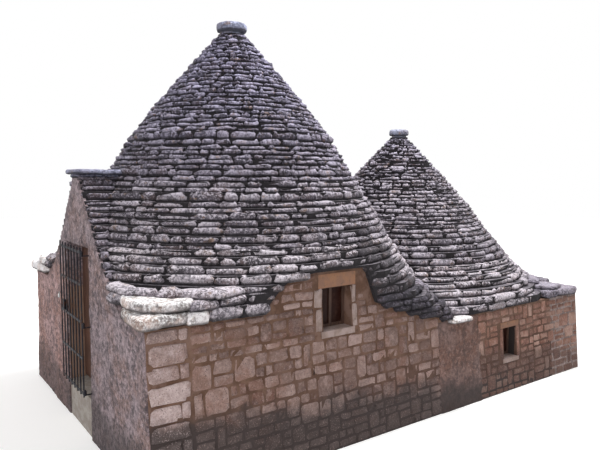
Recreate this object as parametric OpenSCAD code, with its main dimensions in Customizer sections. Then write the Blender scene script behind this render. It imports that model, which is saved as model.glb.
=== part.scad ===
// Trullo house: two dry-stone cones on thick limestone walls, with a gabled doorway.
// Millimetres. X runs along the front wall, Y runs back from it, Z is up.
// The origin is on the main cone's axis, at the lowest ground.

/* [Plan] */
// Outside width of the house at the top of the walls
house_w = 4700; // [4400:50:5200]
// Length of the front room, inside
front_room_l = 3000; // [2800:50:3300]
// Length of the rear room, inside
rear_room_l = 2400; // [2200:50:2700]
// Thickness of the walls
wall_t = 800; // [700:10:900]
// How far the long walls lean in, from the ground to their top
batter = 150; // [0:5:180]

/* [Levels] */
// Top of the walls round the front room
front_top = 1800; // [1720:10:1900]
// Top of the walls round the rear room
rear_top = 1300; // [1200:10:1380]
// Floor of the front room and the doorway
front_floor = 500; // [420:10:560]
// Floor of the rear room
rear_floor = 200; // [120:10:280]
// Step in the passage between the rooms
passage_step = 350; // [320:10:400]

/* [Cones] */
// Usual height of one course of roof slabs
course_h = 80; // [76:1:84]
// Radius of the main cone where it starts
main_foot_r = 2755; // [2650:5:2800]
// Radius of the rear cone where it starts
rear_foot_r = 2605; // [2550:5:2680]
// How far the roof slabs stand out over the walls
overhang = 60; // [30:5:100]
// How far the domes start inside the ends of their rooms
dome_in = 20; // [10:5:60]
// How far the valley between the cones lies behind the front room
valley_back = 735; // [700:5:800]

/* [Doorway] */
// Width of the doorway at the front
door_w = 1040; // [960:10:1100]
// Underside of the lintel over the doorway
door_head = 2440; // [2400:10:2460]
// Depth of the outer jambs, in front of the door
jamb_d = 200; // [160:10:240]
// How much wider the doorway is behind the jambs, each side
rebate = 100; // [80:5:120]
// Thickness of the lintel
lintel_h = 160; // [120:10:170]
// How far the lintel bears on each jamb
lintel_bearing = 90; // [70:5:105]
// Thickness of the gable wall
gable_t = 280; // [240:10:320]
// Width of the slab ends that show beside the gable wall
verge_w = 110; // [80:5:130]
// Half the width of the slab that caps the gable
cap_half = 240; // [200:10:300]
// How far that slab stands out in front of the gable
cap_out = 90; // [60:5:120]

/* [Pinnacles] */
// Radius of the disc on the main cone
main_disc_r = 227; // [200:1:240]
// Thickness of that disc
main_disc_h = 130; // [110:5:150]
// Radius of the disc on the rear cone
rear_disc_r = 180; // [160:1:200]
// Thickness of that disc
rear_disc_h = 110; // [90:5:120]

/* [Eaves] */
// How far the corner slabs reach in from the corners of the eaves
corner_l = 580; // [500:10:600]
// How far the valley slabs stand out over the wall
valley_out = 150; // [130:5:180]
// Length of a valley slab along the wall
valley_l = 500; // [420:10:540]
// Thickness of a valley slab
valley_t = 60; // [50:1:75]

/* [Windows] */
// Width of the window in the front room
window_a_w = 460; // [400:10:520]
// Height of the window in the front room
window_a_h = 525; // [460:5:560]
// Sill level of the window in the front room
window_a_z = 1465; // [1440:5:1500]
// Centre of that window behind the main cone's axis
window_a_y = 140; // [60:10:200]
// Width of the window in the rear room
window_b_w = 330; // [280:10:400]
// Height of the window in the rear room
window_b_h = 480; // [420:5:520]
// Sill level of the window in the rear room
window_b_z = 505; // [480:5:540]
// Centre of that window behind the rear cone's axis
window_b_y = 75; // [0:5:140]
// Depth of the reveal in front of the window frames
reveal_d = 140; // [100:5:180]
// Width of the wood of a window frame
sash_w = 40; // [30:1:50]

/* [Gate] */
// Width of the gate over its outer bars
gate_w = 990; // [960:2:1020]
// Height of the gate between its lowest and highest rails
gate_h = 1820; // [1760:10:1840]
// Thickness of the round bars
bar_d = 18; // [14:1:22]
// Number of upright bars
bar_n = 8; // [7:1:9]
// How far the middle of the gate stands in front of the wall
gate_off = 100; // [80:2:110]
// Height of the rails
rail_h = 34; // [25:1:40]
// Thickness of the rails
rail_t = 8; // [6:1:10]
// Diameter of the hinge pins
pin_d = 16; // [12:1:18]
// Clearance round a hinge pin
pin_gap = 1; // [0.5:0.5:2]

/* [Door] */
// Thickness of the door's boards
board_t = 40; // [30:1:50]
// Gap round the door
door_gap = 20; // [15:1:25]
// Thickness of the ledges behind the door
ledge_t = 28; // [20:1:30]

/* [Hidden] */
$fn = 240;
past = 10;
clear = 500;
far = 9000;

// Plan lines
half_w = house_w / 2;
room_half = half_w - wall_t;
front_in = -front_room_l / 2;
front_y = front_in - wall_t;
cross_y = front_room_l / 2;
cross_back = cross_y + wall_t;
party_in = cross_back + rear_room_l;
party_y = party_in + wall_t;
rear_axis = cross_back + rear_room_l / 2;
main_dome_r = front_room_l / 2 - dome_in;
rear_dome_r = rear_room_l / 2 - dome_in;
valley_y = cross_y + valley_back;
fall_y = cross_y - wall_t;
turn_y = valley_y + valley_l + 50;
main_corner_d = norm([half_w + overhang, front_y - overhang]);
rear_corner_d = norm([half_w + overhang, party_y - rear_axis]);

// Height of each course as a share of course_h, from the top of the walls up
base_courses = [1.65, 1.3, 1.05, 1.3, 1.15, 1.2, 0.9];
lower_courses = [0.8, 1.18, 1.1, 0.95, 0.95, 0.85, 0.8, 1.4, 0.7, 0.95];
middle_courses = [0.77, 1.1, 0.75, 0.8, 0.75, 0.75, 0.75, 0.94, 1.38, 0.75, 0.72, 0.67];
upper_courses = [0.78, 0.7, 0.75, 0.73, 0.8, 0.7, 0.75, 0.77, 0.7, 0.75, 0.72, 0.77, 0.7];
crown_courses = [0.78, 0.72, 0.75, 0.78, 0.72, 0.76, 0.75, 0.74];
skirt_courses = [1, 1.06, 1, 1.06, 1, 1.13];
rear_base_courses = [1.38, 1.25, 1.31, 1.19, 0.9, 0.8, 1.05];
rear_lower_courses = [1.25, 1.19, 1.12, 1.31, 1, 0.82, 0.8, 0.75, 0.81, 0.75];
rear_upper_courses = [0.78, 0.75, 0.81, 0.75, 0.73, 0.78, 0.75, 0.73, 0.75, 0.78, 0.73, 0.75, 0.73];
rear_crown_courses = [0.75, 0.73, 0.75, 0.7, 0.75, 0.72, 0.65, 0.6];
main_courses = concat(base_courses, lower_courses, middle_courses, upper_courses, [1], crown_courses);
rear_courses = concat(rear_base_courses, rear_lower_courses, rear_upper_courses, [1], rear_crown_courses);
base_n = len(base_courses);
lower_n = len(lower_courses);
middle_n = len(middle_courses);
upper_n = len(upper_courses);
crown_n = len(crown_courses);
rear_base_n = len(rear_base_courses);
rear_lower_n = len(rear_lower_courses);
rear_upper_n = len(rear_upper_courses);
rear_crown_n = len(rear_crown_courses);

// Level of the foot of course k above the first course's foot
function total(list, k) = k <= 0 ? 0 : list[k - 1] + total(list, k - 1);
function level(courses, k) = course_h * total(courses, k);
function middle(courses, k) = (level(courses, k) + level(courses, k + 1)) / 2;
main_rise = level(main_courses, len(main_courses));
rear_rise = level(rear_courses, len(rear_courses));
pinnacle_z = front_top + main_rise;
rear_pinnacle_z = rear_top + rear_rise;

// Outlines of the cones and domes: height above the wall top, radius
function scaled(list, rise, r) = [for (p = list) [p[0] * rise, p[1] * r]];
main_line = scaled([[-0.139, 1.2214], [0, 1], [0.153, 0.8657], [0.292, 0.7604], [0.431, 0.6425],
    [0.569, 0.5354], [0.708, 0.3956], [0.847, 0.2377], [1, 0.0635]], main_rise, main_foot_r);
rear_line = scaled([[0, 1], [0.202, 0.7658], [0.386, 0.6046], [0.57, 0.4626], [0.754, 0.2937], [1, 0.0518]],
    rear_rise, rear_foot_r);
main_hollow = scaled([[0, 1], [0.222, 0.88], [0.444, 0.7], [0.667, 0.48], [0.889, 0.213]],
    main_rise, main_dome_r);
rear_hollow = scaled([[0, 1], [0.235, 0.89], [0.529, 0.627], [0.824, 0.254]],
    rear_rise, rear_dome_r);

// Half the width of the gable, slab ends and all, by height above the wall top
lintel_rise = door_head + lintel_h - front_top;
lintel_half = door_w / 2 + lintel_bearing;
gable_line = scaled([[0, 2.324], [0.2, 1.946], [0.4, 1.622], [0.6, 1.378], [0.8, 1.176], [0.99, 1],
    [1.25, 0.757], [1.5, 0.514], [1.75, 0.27], [1.9, 0.203]], lintel_rise, lintel_half + verge_w + 20);
gable_n = len([for (k = [0 : len(main_courses) - 1]) if (level(main_courses, k) < 1.88 * lintel_rise) k]);
verge_from = 2;
gable_top = front_top + level(main_courses, gable_n);
gable_back = front_in + 300;

// Heads of the long walls, seen from the side: place along the wall, height
head_rise = 400;
head_from = front_in + 580;
head_to = cross_y - 940;
wall_head = [[front_in, front_top], [head_from, front_top],
    [head_from + 0.15 * head_rise, front_top + 0.3 * head_rise],
    [head_from + 0.55 * head_rise, front_top + 0.7 * head_rise],
    [head_from + 0.92 * head_rise, front_top + 0.9 * head_rise],
    [head_from + 1.67 * head_rise, front_top + head_rise], [head_to, front_top + head_rise],
    [head_to + 0.17 * head_rise, front_top + 0.6 * head_rise],
    [head_to + 0.5 * head_rise, front_top - 0.2 * head_rise],
    [cross_y + 0.1 * head_rise, rear_top + 0.35 * head_rise], [valley_y, rear_top], [party_in, rear_top]];
head_t = 300;
lintel_a_h = 170;
lintel_b_h = 90;
pane_t = 6;
sill_a_h = 80;
sill_b_h = 60;
lintel_end = 60;
sill_end = 30;
lintel_proud = 4;
sill_proud = 10;
window_rear_y = rear_axis + window_b_y;
valley_in = 350;

// How far out the face of a long wall lies at height z
function face_x(z) = half_w + batter * (1 - min(z, front_top) / front_top);

// Passage between the rooms
passage_w = 900;
arch_z = front_floor + 1160;
arch_t = 240;
pier_up = 750;

// Gate and door
gate_y = front_y - gate_off;
gate_low = front_floor + 90;
hinge_x = gate_w / 2 + 50;
eye_r = pin_d / 2 + 9;
eye_h = 44;
arm_h = 12;
arm_w = 16;
pin_ends = 14;
hinge_zs = [gate_low + 30, gate_low + 880, gate_low + gate_h - 50];
rail_zs = [0, 450, 910, 1380, gate_h - rail_h];
rail_in = 4;
bar_low = 25;
bar_high = 40;
strap_t = 10;
lock_z = gate_low + 910;
lock_w = 90;
lock_h = 150;
lock_t = 34;
lintel_in = 60;
door_half = door_w / 2 + rebate - door_gap;
door_face = front_y + jamb_d + 5;
door_axis_x = -door_half + 15;
door_axis_y = door_face + board_t + 30;
door_low = front_floor + door_gap;
door_high = door_head;
inner_head = door_head + door_gap;
pintle_zs = [door_low + 250, door_high - 250];
ledge_zs = [door_low + 180, (door_low + door_high) / 2, door_high - 320];
ledge_h = 120;
ledge_hung = 90;
ledge_free = 40;
door_eye_h = 50;
door_pin_h = 90;
door_pin_low = 20;
door_arm_h = 15;
door_arm_w = 12;

limestone = "tan";
plaster = "lightgray";
slab_grey = "slategray";
iron = "dimgray";
timber = "saddlebrown";

// Outline of n stepped courses: two corners for each course
function steps(line, courses, from, n) =
    [for (k = [from : from + n - 1]) for (e = [0, 1])
        [lookup(middle(courses, k), line), level(courses, k + e)]];

function backwards(list) = [for (i = [len(list) - 1 : -1 : 0]) list[i]];

// A ring of n courses round a cone's axis, stepped outside and inside
module ring(line, hollow, courses, foot, from, n) {
    translate([0, 0, foot])
        rotate_extrude()
            polygon(concat(steps(line, courses, from, n), backwards(steps(hollow, courses, from, n))));
}

// A closed stack of n courses round a cone's axis
module stack(line, courses, foot, from, n) {
    translate([0, 0, foot])
        rotate_extrude()
            polygon(concat([[0, level(courses, from)]], steps(line, courses, from, n),
                [[0, level(courses, from + n)]]));
}

// A box between two corners
module block(low, high) {
    translate(low) cube(high - low);
}

// An outline drawn in X and Z, carried along Y from y0 to y1
module along_y(y0, y1) {
    translate([0, y1, 0]) rotate([90, 0, 0]) linear_extrude(y1 - y0) children();
}

// An outline drawn in Y and Z, carried along X from x0 to x1
module along_x(x0, x1) {
    translate([x0, 0, 0]) rotate([90, 0, 90]) linear_extrude(x1 - x0) children();
}

// The same thing on the right and on the left
module both_sides() {
    children();
    mirror([1, 0, 0]) children();
}

// Space over the front part of the plan, out to the slabs' edges
module main_plan() {
    block([-half_w - overhang, front_y - overhang, 0], [half_w + overhang, valley_y, far]);
}

module rear_plan() {
    block([-half_w - overhang, valley_y, 0], [half_w + overhang, party_y, far]);
}

// Level of the foot of course k of the main cone
function course_z(k) = front_top + level(main_courses, k);

// Half widths of the gable at course k: out to the slab ends, and the wall's own
function gable_half(k) = lookup(middle(main_courses, k), gable_line);
function gable_wall_half(k) = max(k < verge_from ? gable_half(k) : gable_half(k) - verge_w, past);

// Stepped outline of the gable up to course n
module gable_outline(n, slabs) {
    for (k = [0 : n - 1]) {
        w = slabs ? gable_half(k) : gable_wall_half(k);
        translate([-w, course_z(k)]) square([2 * w, course_z(k + 1) - course_z(k)]);
    }
}

// What the gable and its wall take out of the cone's courses
module gable_room() {
    along_y(front_y - clear, front_y + gable_t) gable_outline(gable_n, true);
}

// Doorway behind the outer jambs, through to the dome. Behind the lintel it is open up to the next course
module doorway_room() {
    w = door_w / 2 + rebate;
    block([-w, front_y + gable_t, 0], [w, front_in + clear, inner_head]);
    block([-w, front_in + lintel_in, 0], [w, front_in + clear, min([for (k = [0 : 20])
        if (course_z(k) >= inner_head) course_z(k)])]);
    block([-w - lintel_bearing, front_y + gable_t, inner_head],
        [w + lintel_bearing, front_in + lintel_in, inner_head + lintel_h]);
}

// Head of a long wall, as an outline in Y and Z
module wall_outline() {
    polygon(concat([[party_in, 0], [front_in, 0]], wall_head));
}

// What the raised head over the front window takes out of the courses
module head_room() {
    both_sides() along_x(half_w - head_t, half_w + clear) intersection() {
        wall_outline();
        translate([front_in, front_top]) square([front_room_l, 2 * head_rise]);
    }
}

// Space w wide and h high on sill level z, cut right through both long walls at y
module window_room(y, w, z, h) {
    both_sides() block([room_half - clear, y - w / 2, z], [half_w + clear, y + w / 2, z + h]);
}

module window_rooms() {
    window_room(window_a_y, window_a_w, window_a_z, window_a_h);
    window_room(window_rear_y, window_b_w, window_b_z, window_b_h);
}

// Passage between the rooms: straight sides and a round head
module passage_outline(r) {
    translate([0, arch_z]) circle(r);
    translate([-r, 0]) square([2 * r, arch_z]);
}

module passage_room() {
    along_y(cross_y - clear, cross_back + clear) passage_outline(passage_w / 2);
    along_y(cross_y, cross_back) translate([0, arch_z]) circle(passage_w / 2 + arch_t);
    block([-pier_up, cross_y, 0], [pier_up, cross_back, arch_z]);
}

// Front wall beside the doorway, on the right
module front_pier() {
    along_y(front_y, front_y + jamb_d)
        polygon([[door_w / 2, 0], [half_w + batter, 0], [half_w, front_top], [door_w / 2, front_top]]);
    along_y(front_y + jamb_d, front_in)
        polygon([[door_w / 2 + rebate, 0], [half_w + batter, 0], [half_w, front_top],
            [door_w / 2 + rebate, front_top]]);
}

module front_wall_right() {
    color(plaster) front_pier();
}

module front_wall_left() {
    color(plaster) mirror([1, 0, 0]) front_pier();
}

// The gable wall, as one outline carried back from its face
module gable_wall() {
    along_y(front_y, front_y + gable_t) gable_outline(gable_n - 1, false);
}

// The gable wall beside the doorway, above the piers
module gable_shoulders() {
    color(plaster) difference() {
        gable_wall();
        block([-door_w / 2, front_y - clear, 0], [door_w / 2, front_y + jamb_d, door_head]);
        block([-door_w / 2 - rebate, front_y + jamb_d, 0],
            [door_w / 2 + rebate, front_y + clear, inner_head]);
        block([-lintel_half, front_y - clear, door_head], [lintel_half, front_y + clear, far]);
        block([-far, front_y - clear, door_head + lintel_h], [far, front_y + clear, far]);
    }
}

// The gable wall over the lintel, up to its point
module gable_peak() {
    color(plaster) difference() {
        gable_wall();
        block([-far, front_y - clear, 0], [far, front_y + clear, door_head + lintel_h]);
    }
}

module door_lintel() {
    color(limestone)
        block([-lintel_half, front_y, door_head], [lintel_half, front_y + gable_t, door_head + lintel_h]);
}

module inner_lintel() {
    w = door_w / 2 + rebate + lintel_bearing;
    color(limestone)
        block([-w, front_y + gable_t, inner_head], [w, front_in + lintel_in, inner_head + lintel_h]);
}

// Stone sill of the doorway, and the step down in the passage
module thresholds() {
    color(limestone) {
        block([-door_w / 2, front_y, 0], [door_w / 2, front_y + jamb_d, front_floor]);
        block([-door_w / 2 - rebate, front_y + jamb_d, 0], [door_w / 2 + rebate, front_in, front_floor]);
        block([-passage_w / 2, cross_y, 0], [passage_w / 2, cross_back, passage_step]);
    }
}

// One stretch of a long wall, on the right, between two places along Y
module long_wall(y0, y1) {
    difference() {
        intersection() {
            union() {
                along_x(room_half, half_w + batter + past) intersection() {
                    wall_outline();
                    translate([front_in, 0]) square([party_in - front_in, front_top]);
                }
                along_x(half_w - head_t, half_w + past) intersection() {
                    wall_outline();
                    translate([front_in, front_top]) square([front_room_l, 2 * head_rise]);
                }
            }
            along_y(y0, y1)
                polygon([[0, 0], [half_w + batter, 0], [half_w, front_top], [half_w, far], [0, far]]);
        }
        window_rooms();
        window_dressing_room();
        valley_slab_pair();
    }
}

module right_wall_front() {
    color(limestone) long_wall(front_in, fall_y);
}

module right_wall_middle() {
    color(limestone) long_wall(fall_y, turn_y);
}

module right_wall_rear() {
    color(limestone) long_wall(turn_y, party_in);
}

module left_wall_front() {
    color(limestone) mirror([1, 0, 0]) long_wall(front_in, fall_y);
}

module left_wall_middle() {
    color(limestone) mirror([1, 0, 0]) long_wall(fall_y, turn_y);
}

module left_wall_rear() {
    color(limestone) mirror([1, 0, 0]) long_wall(turn_y, party_in);
}

// Plain end wall, where the next house would join
module party_wall() {
    lean = batter * (1 - rear_top / front_top);
    color(plaster) along_y(party_in, party_y)
        polygon([[-half_w - batter, 0], [half_w + batter, 0], [half_w + lean, rear_top],
            [-half_w - lean, rear_top]]);
}

// Wall between the rooms, beside the passage
module cross_wall_piers() {
    color(limestone) both_sides() along_y(cross_y, cross_back)
        polygon([[passage_w / 2, 0], [room_half, 0], [room_half, rear_top], [pier_up, rear_top],
            [pier_up, arch_z], [passage_w / 2, arch_z]]);
}

module cross_arch() {
    color(limestone) along_y(cross_y, cross_back) intersection() {
        difference() {
            translate([0, arch_z]) circle(passage_w / 2 + arch_t);
            translate([0, arch_z]) circle(passage_w / 2);
        }
        translate([-far, arch_z]) square(2 * far);
    }
}

module front_room_floor() {
    color("silver") block([-room_half, front_in, 0], [room_half, cross_y, front_floor]);
}

module rear_room_floor() {
    color("silver") block([-room_half, cross_back, 0], [room_half, party_in, rear_floor]);
}

// Lintel of one window, h high over an opening w wide with its head at z
module lintel_stone(y, w, z, h) {
    block([half_w - head_t, y - w / 2 - lintel_end, z],
        [face_x(z) + lintel_proud, y + w / 2 + lintel_end, z + h]);
}

// Sill of one window, h thick under an opening w wide that starts at z
module sill_stone(y, w, z, h) {
    block([half_w - head_t, y - w / 2 - sill_end, z - h],
        [face_x(z - h) + sill_proud, y + w / 2 + sill_end, z]);
}

module window_lintels() {
    color("peru") both_sides() {
        lintel_stone(window_a_y, window_a_w, window_a_z + window_a_h, lintel_a_h);
        lintel_stone(window_rear_y, window_b_w, window_b_z + window_b_h, lintel_b_h);
    }
}

module window_sills() {
    color("gainsboro") both_sides() {
        sill_stone(window_a_y, window_a_w, window_a_z, sill_a_h);
        sill_stone(window_rear_y, window_b_w, window_b_z, sill_b_h);
    }
}

// Space in front of a lintel
module lintel_front(y, w, z, h) {
    block([half_w, y - w / 2 - lintel_end, z], [half_w + clear, y + w / 2 + lintel_end, z + h]);
}

// Seats of the lintels and sills in the long walls, open to the outside over the lintels' whole faces
module window_dressing_room() {
    window_lintels();
    window_sills();
    both_sides() {
        lintel_front(window_a_y, window_a_w, window_a_z + window_a_h, lintel_a_h);
        lintel_front(window_rear_y, window_b_w, window_b_z + window_b_h, lintel_b_h);
    }
}

// Wooden frame w by h, standing on z, with one middle upright where middle is true
module sash(y, w, z, h, middle) {
    x1 = face_x(z + h / 2) - reveal_d;
    difference() {
        block([x1 - sash_w, y - w / 2, z], [x1, y + w / 2, z + h]);
        block([x1 - sash_w - past, y - w / 2 + sash_w, z + sash_w],
            [x1 + past, y + w / 2 - sash_w, z + h - sash_w]);
    }
    if (middle)
        block([x1 - sash_w, y - sash_w / 2, z + sash_w], [x1, y + sash_w / 2, z + h - sash_w]);
}

module window_frames() {
    color("sienna") both_sides() {
        sash(window_a_y, window_a_w, window_a_z, window_a_h, true);
        sash(window_rear_y, window_b_w, window_b_z, window_b_h, false);
    }
}

// One pane between two uprights
module pane(y0, y1, z0, z1) {
    x = face_x((z0 + z1) / 2) - reveal_d - sash_w / 2;
    block([x - pane_t / 2, y0, z0], [x + pane_t / 2, y1, z1]);
}

module window_glass() {
    az0 = window_a_z + sash_w;
    az1 = window_a_z + window_a_h - sash_w;
    bz1 = window_b_z + window_b_h - sash_w;
    color("darkslategray") both_sides() {
        pane(window_a_y - window_a_w / 2 + sash_w, window_a_y - sash_w / 2, az0, az1);
        pane(window_a_y + sash_w / 2, window_a_y + window_a_w / 2 - sash_w, az0, az1);
        pane(window_rear_y - window_b_w / 2 + sash_w, window_rear_y + window_b_w / 2 - sash_w,
            window_b_z + sash_w, bz1);
    }
}

// Flat slabs in the square corner of an eave, corner_d from the cone's axis: a ring for each course,
// cut off short of the corner by cuts[k]
module corner_fill(line, courses, foot, corner_d, cuts) {
    for (k = [0 : len(cuts) - 1]) {
        z = foot + level(courses, k);
        h = level(courses, k + 1) - level(courses, k);
        cone_r = lookup(middle(courses, k), line);
        difference() {
            translate([0, 0, z]) cylinder(h = h, r = max(corner_d - cuts[k], cone_r));
            translate([0, 0, z - past]) cylinder(h = h + 2 * past, r = min(corner_d - corner_l, cone_r));
        }
    }
}

module corner_slabs() {
    color("lightgray") difference() {
        intersection() {
            corner_fill(main_line, main_courses, front_top, main_corner_d,
                [-2 * past, 0.5 * corner_l, 0.88 * corner_l]);
            block([-half_w - overhang, front_y - overhang, 0], [half_w + overhang, -half_w / 2, far]);
        }
        gable_room();
    }
}

module rear_corner_slabs() {
    color("lightgray") intersection() {
        translate([0, rear_axis, 0])
            corner_fill(rear_line, rear_courses, rear_top, rear_corner_d, [-2 * past, 0.4 * corner_l]);
        block([-half_w - overhang, rear_axis + 0.42 * half_w, 0], [half_w + overhang, party_y, far]);
    }
}

// Whether a cone's first course reaches in among the corner slabs
function meets_corner(line, courses, corner_d) = lookup(middle(courses, 0), line) > corner_d - corner_l;

// Slabs that lead water out of the valley between the cones
module valley_slab() {
    block([half_w - valley_in, valley_y, rear_top - valley_t],
        [half_w + valley_out, valley_y + valley_l, rear_top]);
}

module valley_slab_pair() {
    both_sides() valley_slab();
}

module valley_slabs() {
    color("whitesmoke") valley_slab_pair();
}

module main_cone_base() {
    color(slab_grey) difference() {
        intersection() {
            ring(main_line, main_hollow, main_courses, front_top, 0, base_n);
            main_plan();
        }
        gable_room();
        doorway_room();
        head_room();
        window_rooms();
        passage_room();
        if (meets_corner(main_line, main_courses, main_corner_d)) corner_slabs();
    }
}

// Courses that run on down behind the front room, over the walls
module main_cone_skirt() {
    n = len(skirt_courses);
    unit = (front_top - rear_top) / total(skirt_courses, n);
    outer = [for (k = [0 : n - 1]) for (e = [0, 1])
        [lookup(rear_top - front_top + unit * (total(skirt_courses, k) + total(skirt_courses, k + 1)) / 2,
            main_line), unit * total(skirt_courses, k + e)]];
    color(slab_grey) difference() {
        intersection() {
            translate([0, 0, rear_top]) rotate_extrude()
                polygon(concat([[0, 0]], outer, [[0, front_top - rear_top]]));
            block([-half_w - overhang, fall_y, rear_top], [half_w + overhang, valley_y, front_top]);
        }
        block([-room_half, -far, 0], [room_half, cross_y, far]);
        both_sides() along_x(room_half - past, half_w + clear) wall_outline();
        passage_room();
    }
}

module main_cone_lower() {
    color(slab_grey) difference() {
        intersection() {
            ring(main_line, main_hollow, main_courses, front_top, base_n, lower_n);
            main_plan();
        }
        gable_room();
        doorway_room();
    }
}

module main_cone_middle() {
    color(slab_grey) ring(main_line, main_hollow, main_courses, front_top, base_n + lower_n, middle_n);
}

module main_cone_upper() {
    color(slab_grey)
        ring(main_line, main_hollow, main_courses, front_top, base_n + lower_n + middle_n, upper_n);
}

// The flat slab course that closes each dome
module closing_slabs() {
    color(slab_grey) {
        stack(main_line, main_courses, front_top, base_n + lower_n + middle_n + upper_n, 1);
        translate([0, rear_axis, 0])
            stack(rear_line, rear_courses, rear_top, rear_base_n + rear_lower_n + rear_upper_n, 1);
    }
}

module main_cone_crown() {
    color(slab_grey) stack(main_line, main_courses, front_top, len(main_courses) - crown_n, crown_n);
}

// Neck and rounded disc on top of a cone
module pinnacle(z, r, h) {
    neck_r = 0.75 * r;
    neck_h = 0.38 * h;
    e = h * 0.32;
    translate([0, 0, z]) rotate_extrude() {
        square([neck_r, neck_h]);
        translate([0, neck_h]) square([r - e, h]);
        translate([0, neck_h + e]) square([r, h - 2 * e]);
        translate([r - e, neck_h + e]) circle(e, $fn = 32);
        translate([r - e, neck_h + h - e]) circle(e, $fn = 32);
    }
}

module main_pinnacle() {
    color("darkgray") pinnacle(pinnacle_z, main_disc_r, main_disc_h);
}

// Slab courses that run forward from the cone to the face of the gable
module gable_roof() {
    color(slab_grey) difference() {
        union() {
            for (k = [verge_from : gable_n - 1]) {
                z = course_z(k);
                top = course_z(k + 1);
                w = gable_half(k);
                block([-w, front_y, z], [w, front_y + gable_t, top]);
                difference() {
                    block([-w, front_y + gable_t, z], [w, gable_back, top]);
                    translate([0, 0, z - past])
                        cylinder(h = top - z + 2 * past, r = lookup(middle(main_courses, k), main_line));
                }
            }
        }
        along_y(front_y - clear, front_y + gable_t) gable_outline(gable_n - 1, false);
        doorway_room();
    }
}

module gable_cap() {
    z = gable_top;
    top = course_z(gable_n + 1);
    color("gray") difference() {
        block([-cap_half, front_y - cap_out, z], [cap_half, gable_back, top]);
        translate([0, 0, z - past])
            cylinder(h = top - z + 2 * past, r = lookup(middle(main_courses, gable_n), main_line));
    }
}

module rear_cone_base() {
    color(slab_grey) difference() {
        intersection() {
            translate([0, rear_axis, 0])
                ring(rear_line, rear_hollow, rear_courses, rear_top, 0, rear_base_n);
            rear_plan();
        }
        passage_room();
        if (meets_corner(rear_line, rear_courses, rear_corner_d)) rear_corner_slabs();
    }
}

module rear_cone_lower() {
    color(slab_grey) difference() {
        intersection() {
            translate([0, rear_axis, 0])
                ring(rear_line, rear_hollow, rear_courses, rear_top, rear_base_n, rear_lower_n);
            rear_plan();
        }
        passage_room();
    }
}

module rear_cone_upper() {
    color(slab_grey) translate([0, rear_axis, 0])
        ring(rear_line, rear_hollow, rear_courses, rear_top, rear_base_n + rear_lower_n, rear_upper_n);
}

module rear_cone_crown() {
    color(slab_grey) translate([0, rear_axis, 0])
        stack(rear_line, rear_courses, rear_top, len(rear_courses) - rear_crown_n, rear_crown_n);
}

module rear_pinnacle() {
    color("darkgray") translate([0, rear_axis, 0]) pinnacle(rear_pinnacle_z, rear_disc_r, rear_disc_h);
}

// Iron pins on arms that stand out from the wall beside the gate
module gate_pintles() {
    color(iron) for (z = hinge_zs) {
        translate([hinge_x, gate_y, z - pin_ends]) cylinder(h = eye_h + 2 * pin_ends, d = pin_d);
        translate([hinge_x, gate_y, z - pin_ends]) cylinder(h = arm_h, r = eye_r);
        block([hinge_x - arm_w / 2, gate_y, z - pin_ends],
            [hinge_x + arm_w / 2, front_y, z - pin_ends + arm_h]);
    }
}

// Upright round bars on flat rails, with eyes that hang on the pins
module gate_leaf() {
    pitch = (gate_w - bar_d) / (bar_n - 1);
    color(iron) difference() {
        union() {
            for (i = [0 : bar_n - 1])
                translate([-gate_w / 2 + bar_d / 2 + i * pitch, gate_y, gate_low - bar_low])
                    cylinder(h = gate_h + bar_low + bar_high, d = bar_d, $fn = 24);
            for (r = rail_zs)
                block([-gate_w / 2 + rail_in, gate_y - rail_t / 2, gate_low + r],
                    [gate_w / 2 - rail_in, gate_y + rail_t / 2, gate_low + r + rail_h]);
            for (z = hinge_zs) {
                translate([hinge_x, gate_y, z]) cylinder(h = eye_h, r = eye_r);
                block([gate_w / 2 - bar_d, gate_y - strap_t / 2, z],
                    [hinge_x, gate_y + strap_t / 2, z + eye_h]);
            }
        }
        for (z = hinge_zs)
            translate([hinge_x, gate_y, z - past]) cylinder(h = eye_h + 2 * past, d = pin_d + 2 * pin_gap);
    }
}

// Lock case on the free edge of the gate
module gate_lock() {
    x = -gate_w / 2 + 2 * bar_d;
    y = gate_y + rail_t / 2;
    color("black") block([x, y, lock_z], [x + lock_w, y + lock_t, lock_z + lock_h]);
}

// Pins in the rebate that carry the door
module door_pintles() {
    color(iron) for (z = pintle_zs) {
        translate([door_axis_x, door_axis_y, z - door_pin_low]) cylinder(h = door_pin_h, d = pin_d);
        block([-door_w / 2 - rebate, door_axis_y - door_arm_w / 2, z - door_pin_low],
            [door_axis_x, door_axis_y + door_arm_w / 2, z - door_pin_low + door_arm_h]);
    }
}

// Boarded door with three ledges and two eyes
module door_leaf() {
    back = door_face + board_t;
    color(timber) difference() {
        union() {
            block([-door_half, door_face, door_low], [door_half, back, door_high]);
            for (z = ledge_zs)
                block([-door_half + ledge_hung, back, z],
                    [door_half - ledge_free, back + ledge_t, z + ledge_h]);
            for (z = pintle_zs) {
                translate([door_axis_x, door_axis_y, z]) cylinder(h = door_eye_h, r = eye_r);
                block([door_axis_x - door_arm_w / 2, back - past, z],
                    [door_axis_x + door_arm_w / 2, door_axis_y, z + door_eye_h]);
            }
        }
        for (z = pintle_zs)
            translate([door_axis_x, door_axis_y, z - past])
                cylinder(h = door_eye_h + 2 * past, d = pin_d + 2 * pin_gap);
    }
}

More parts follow.
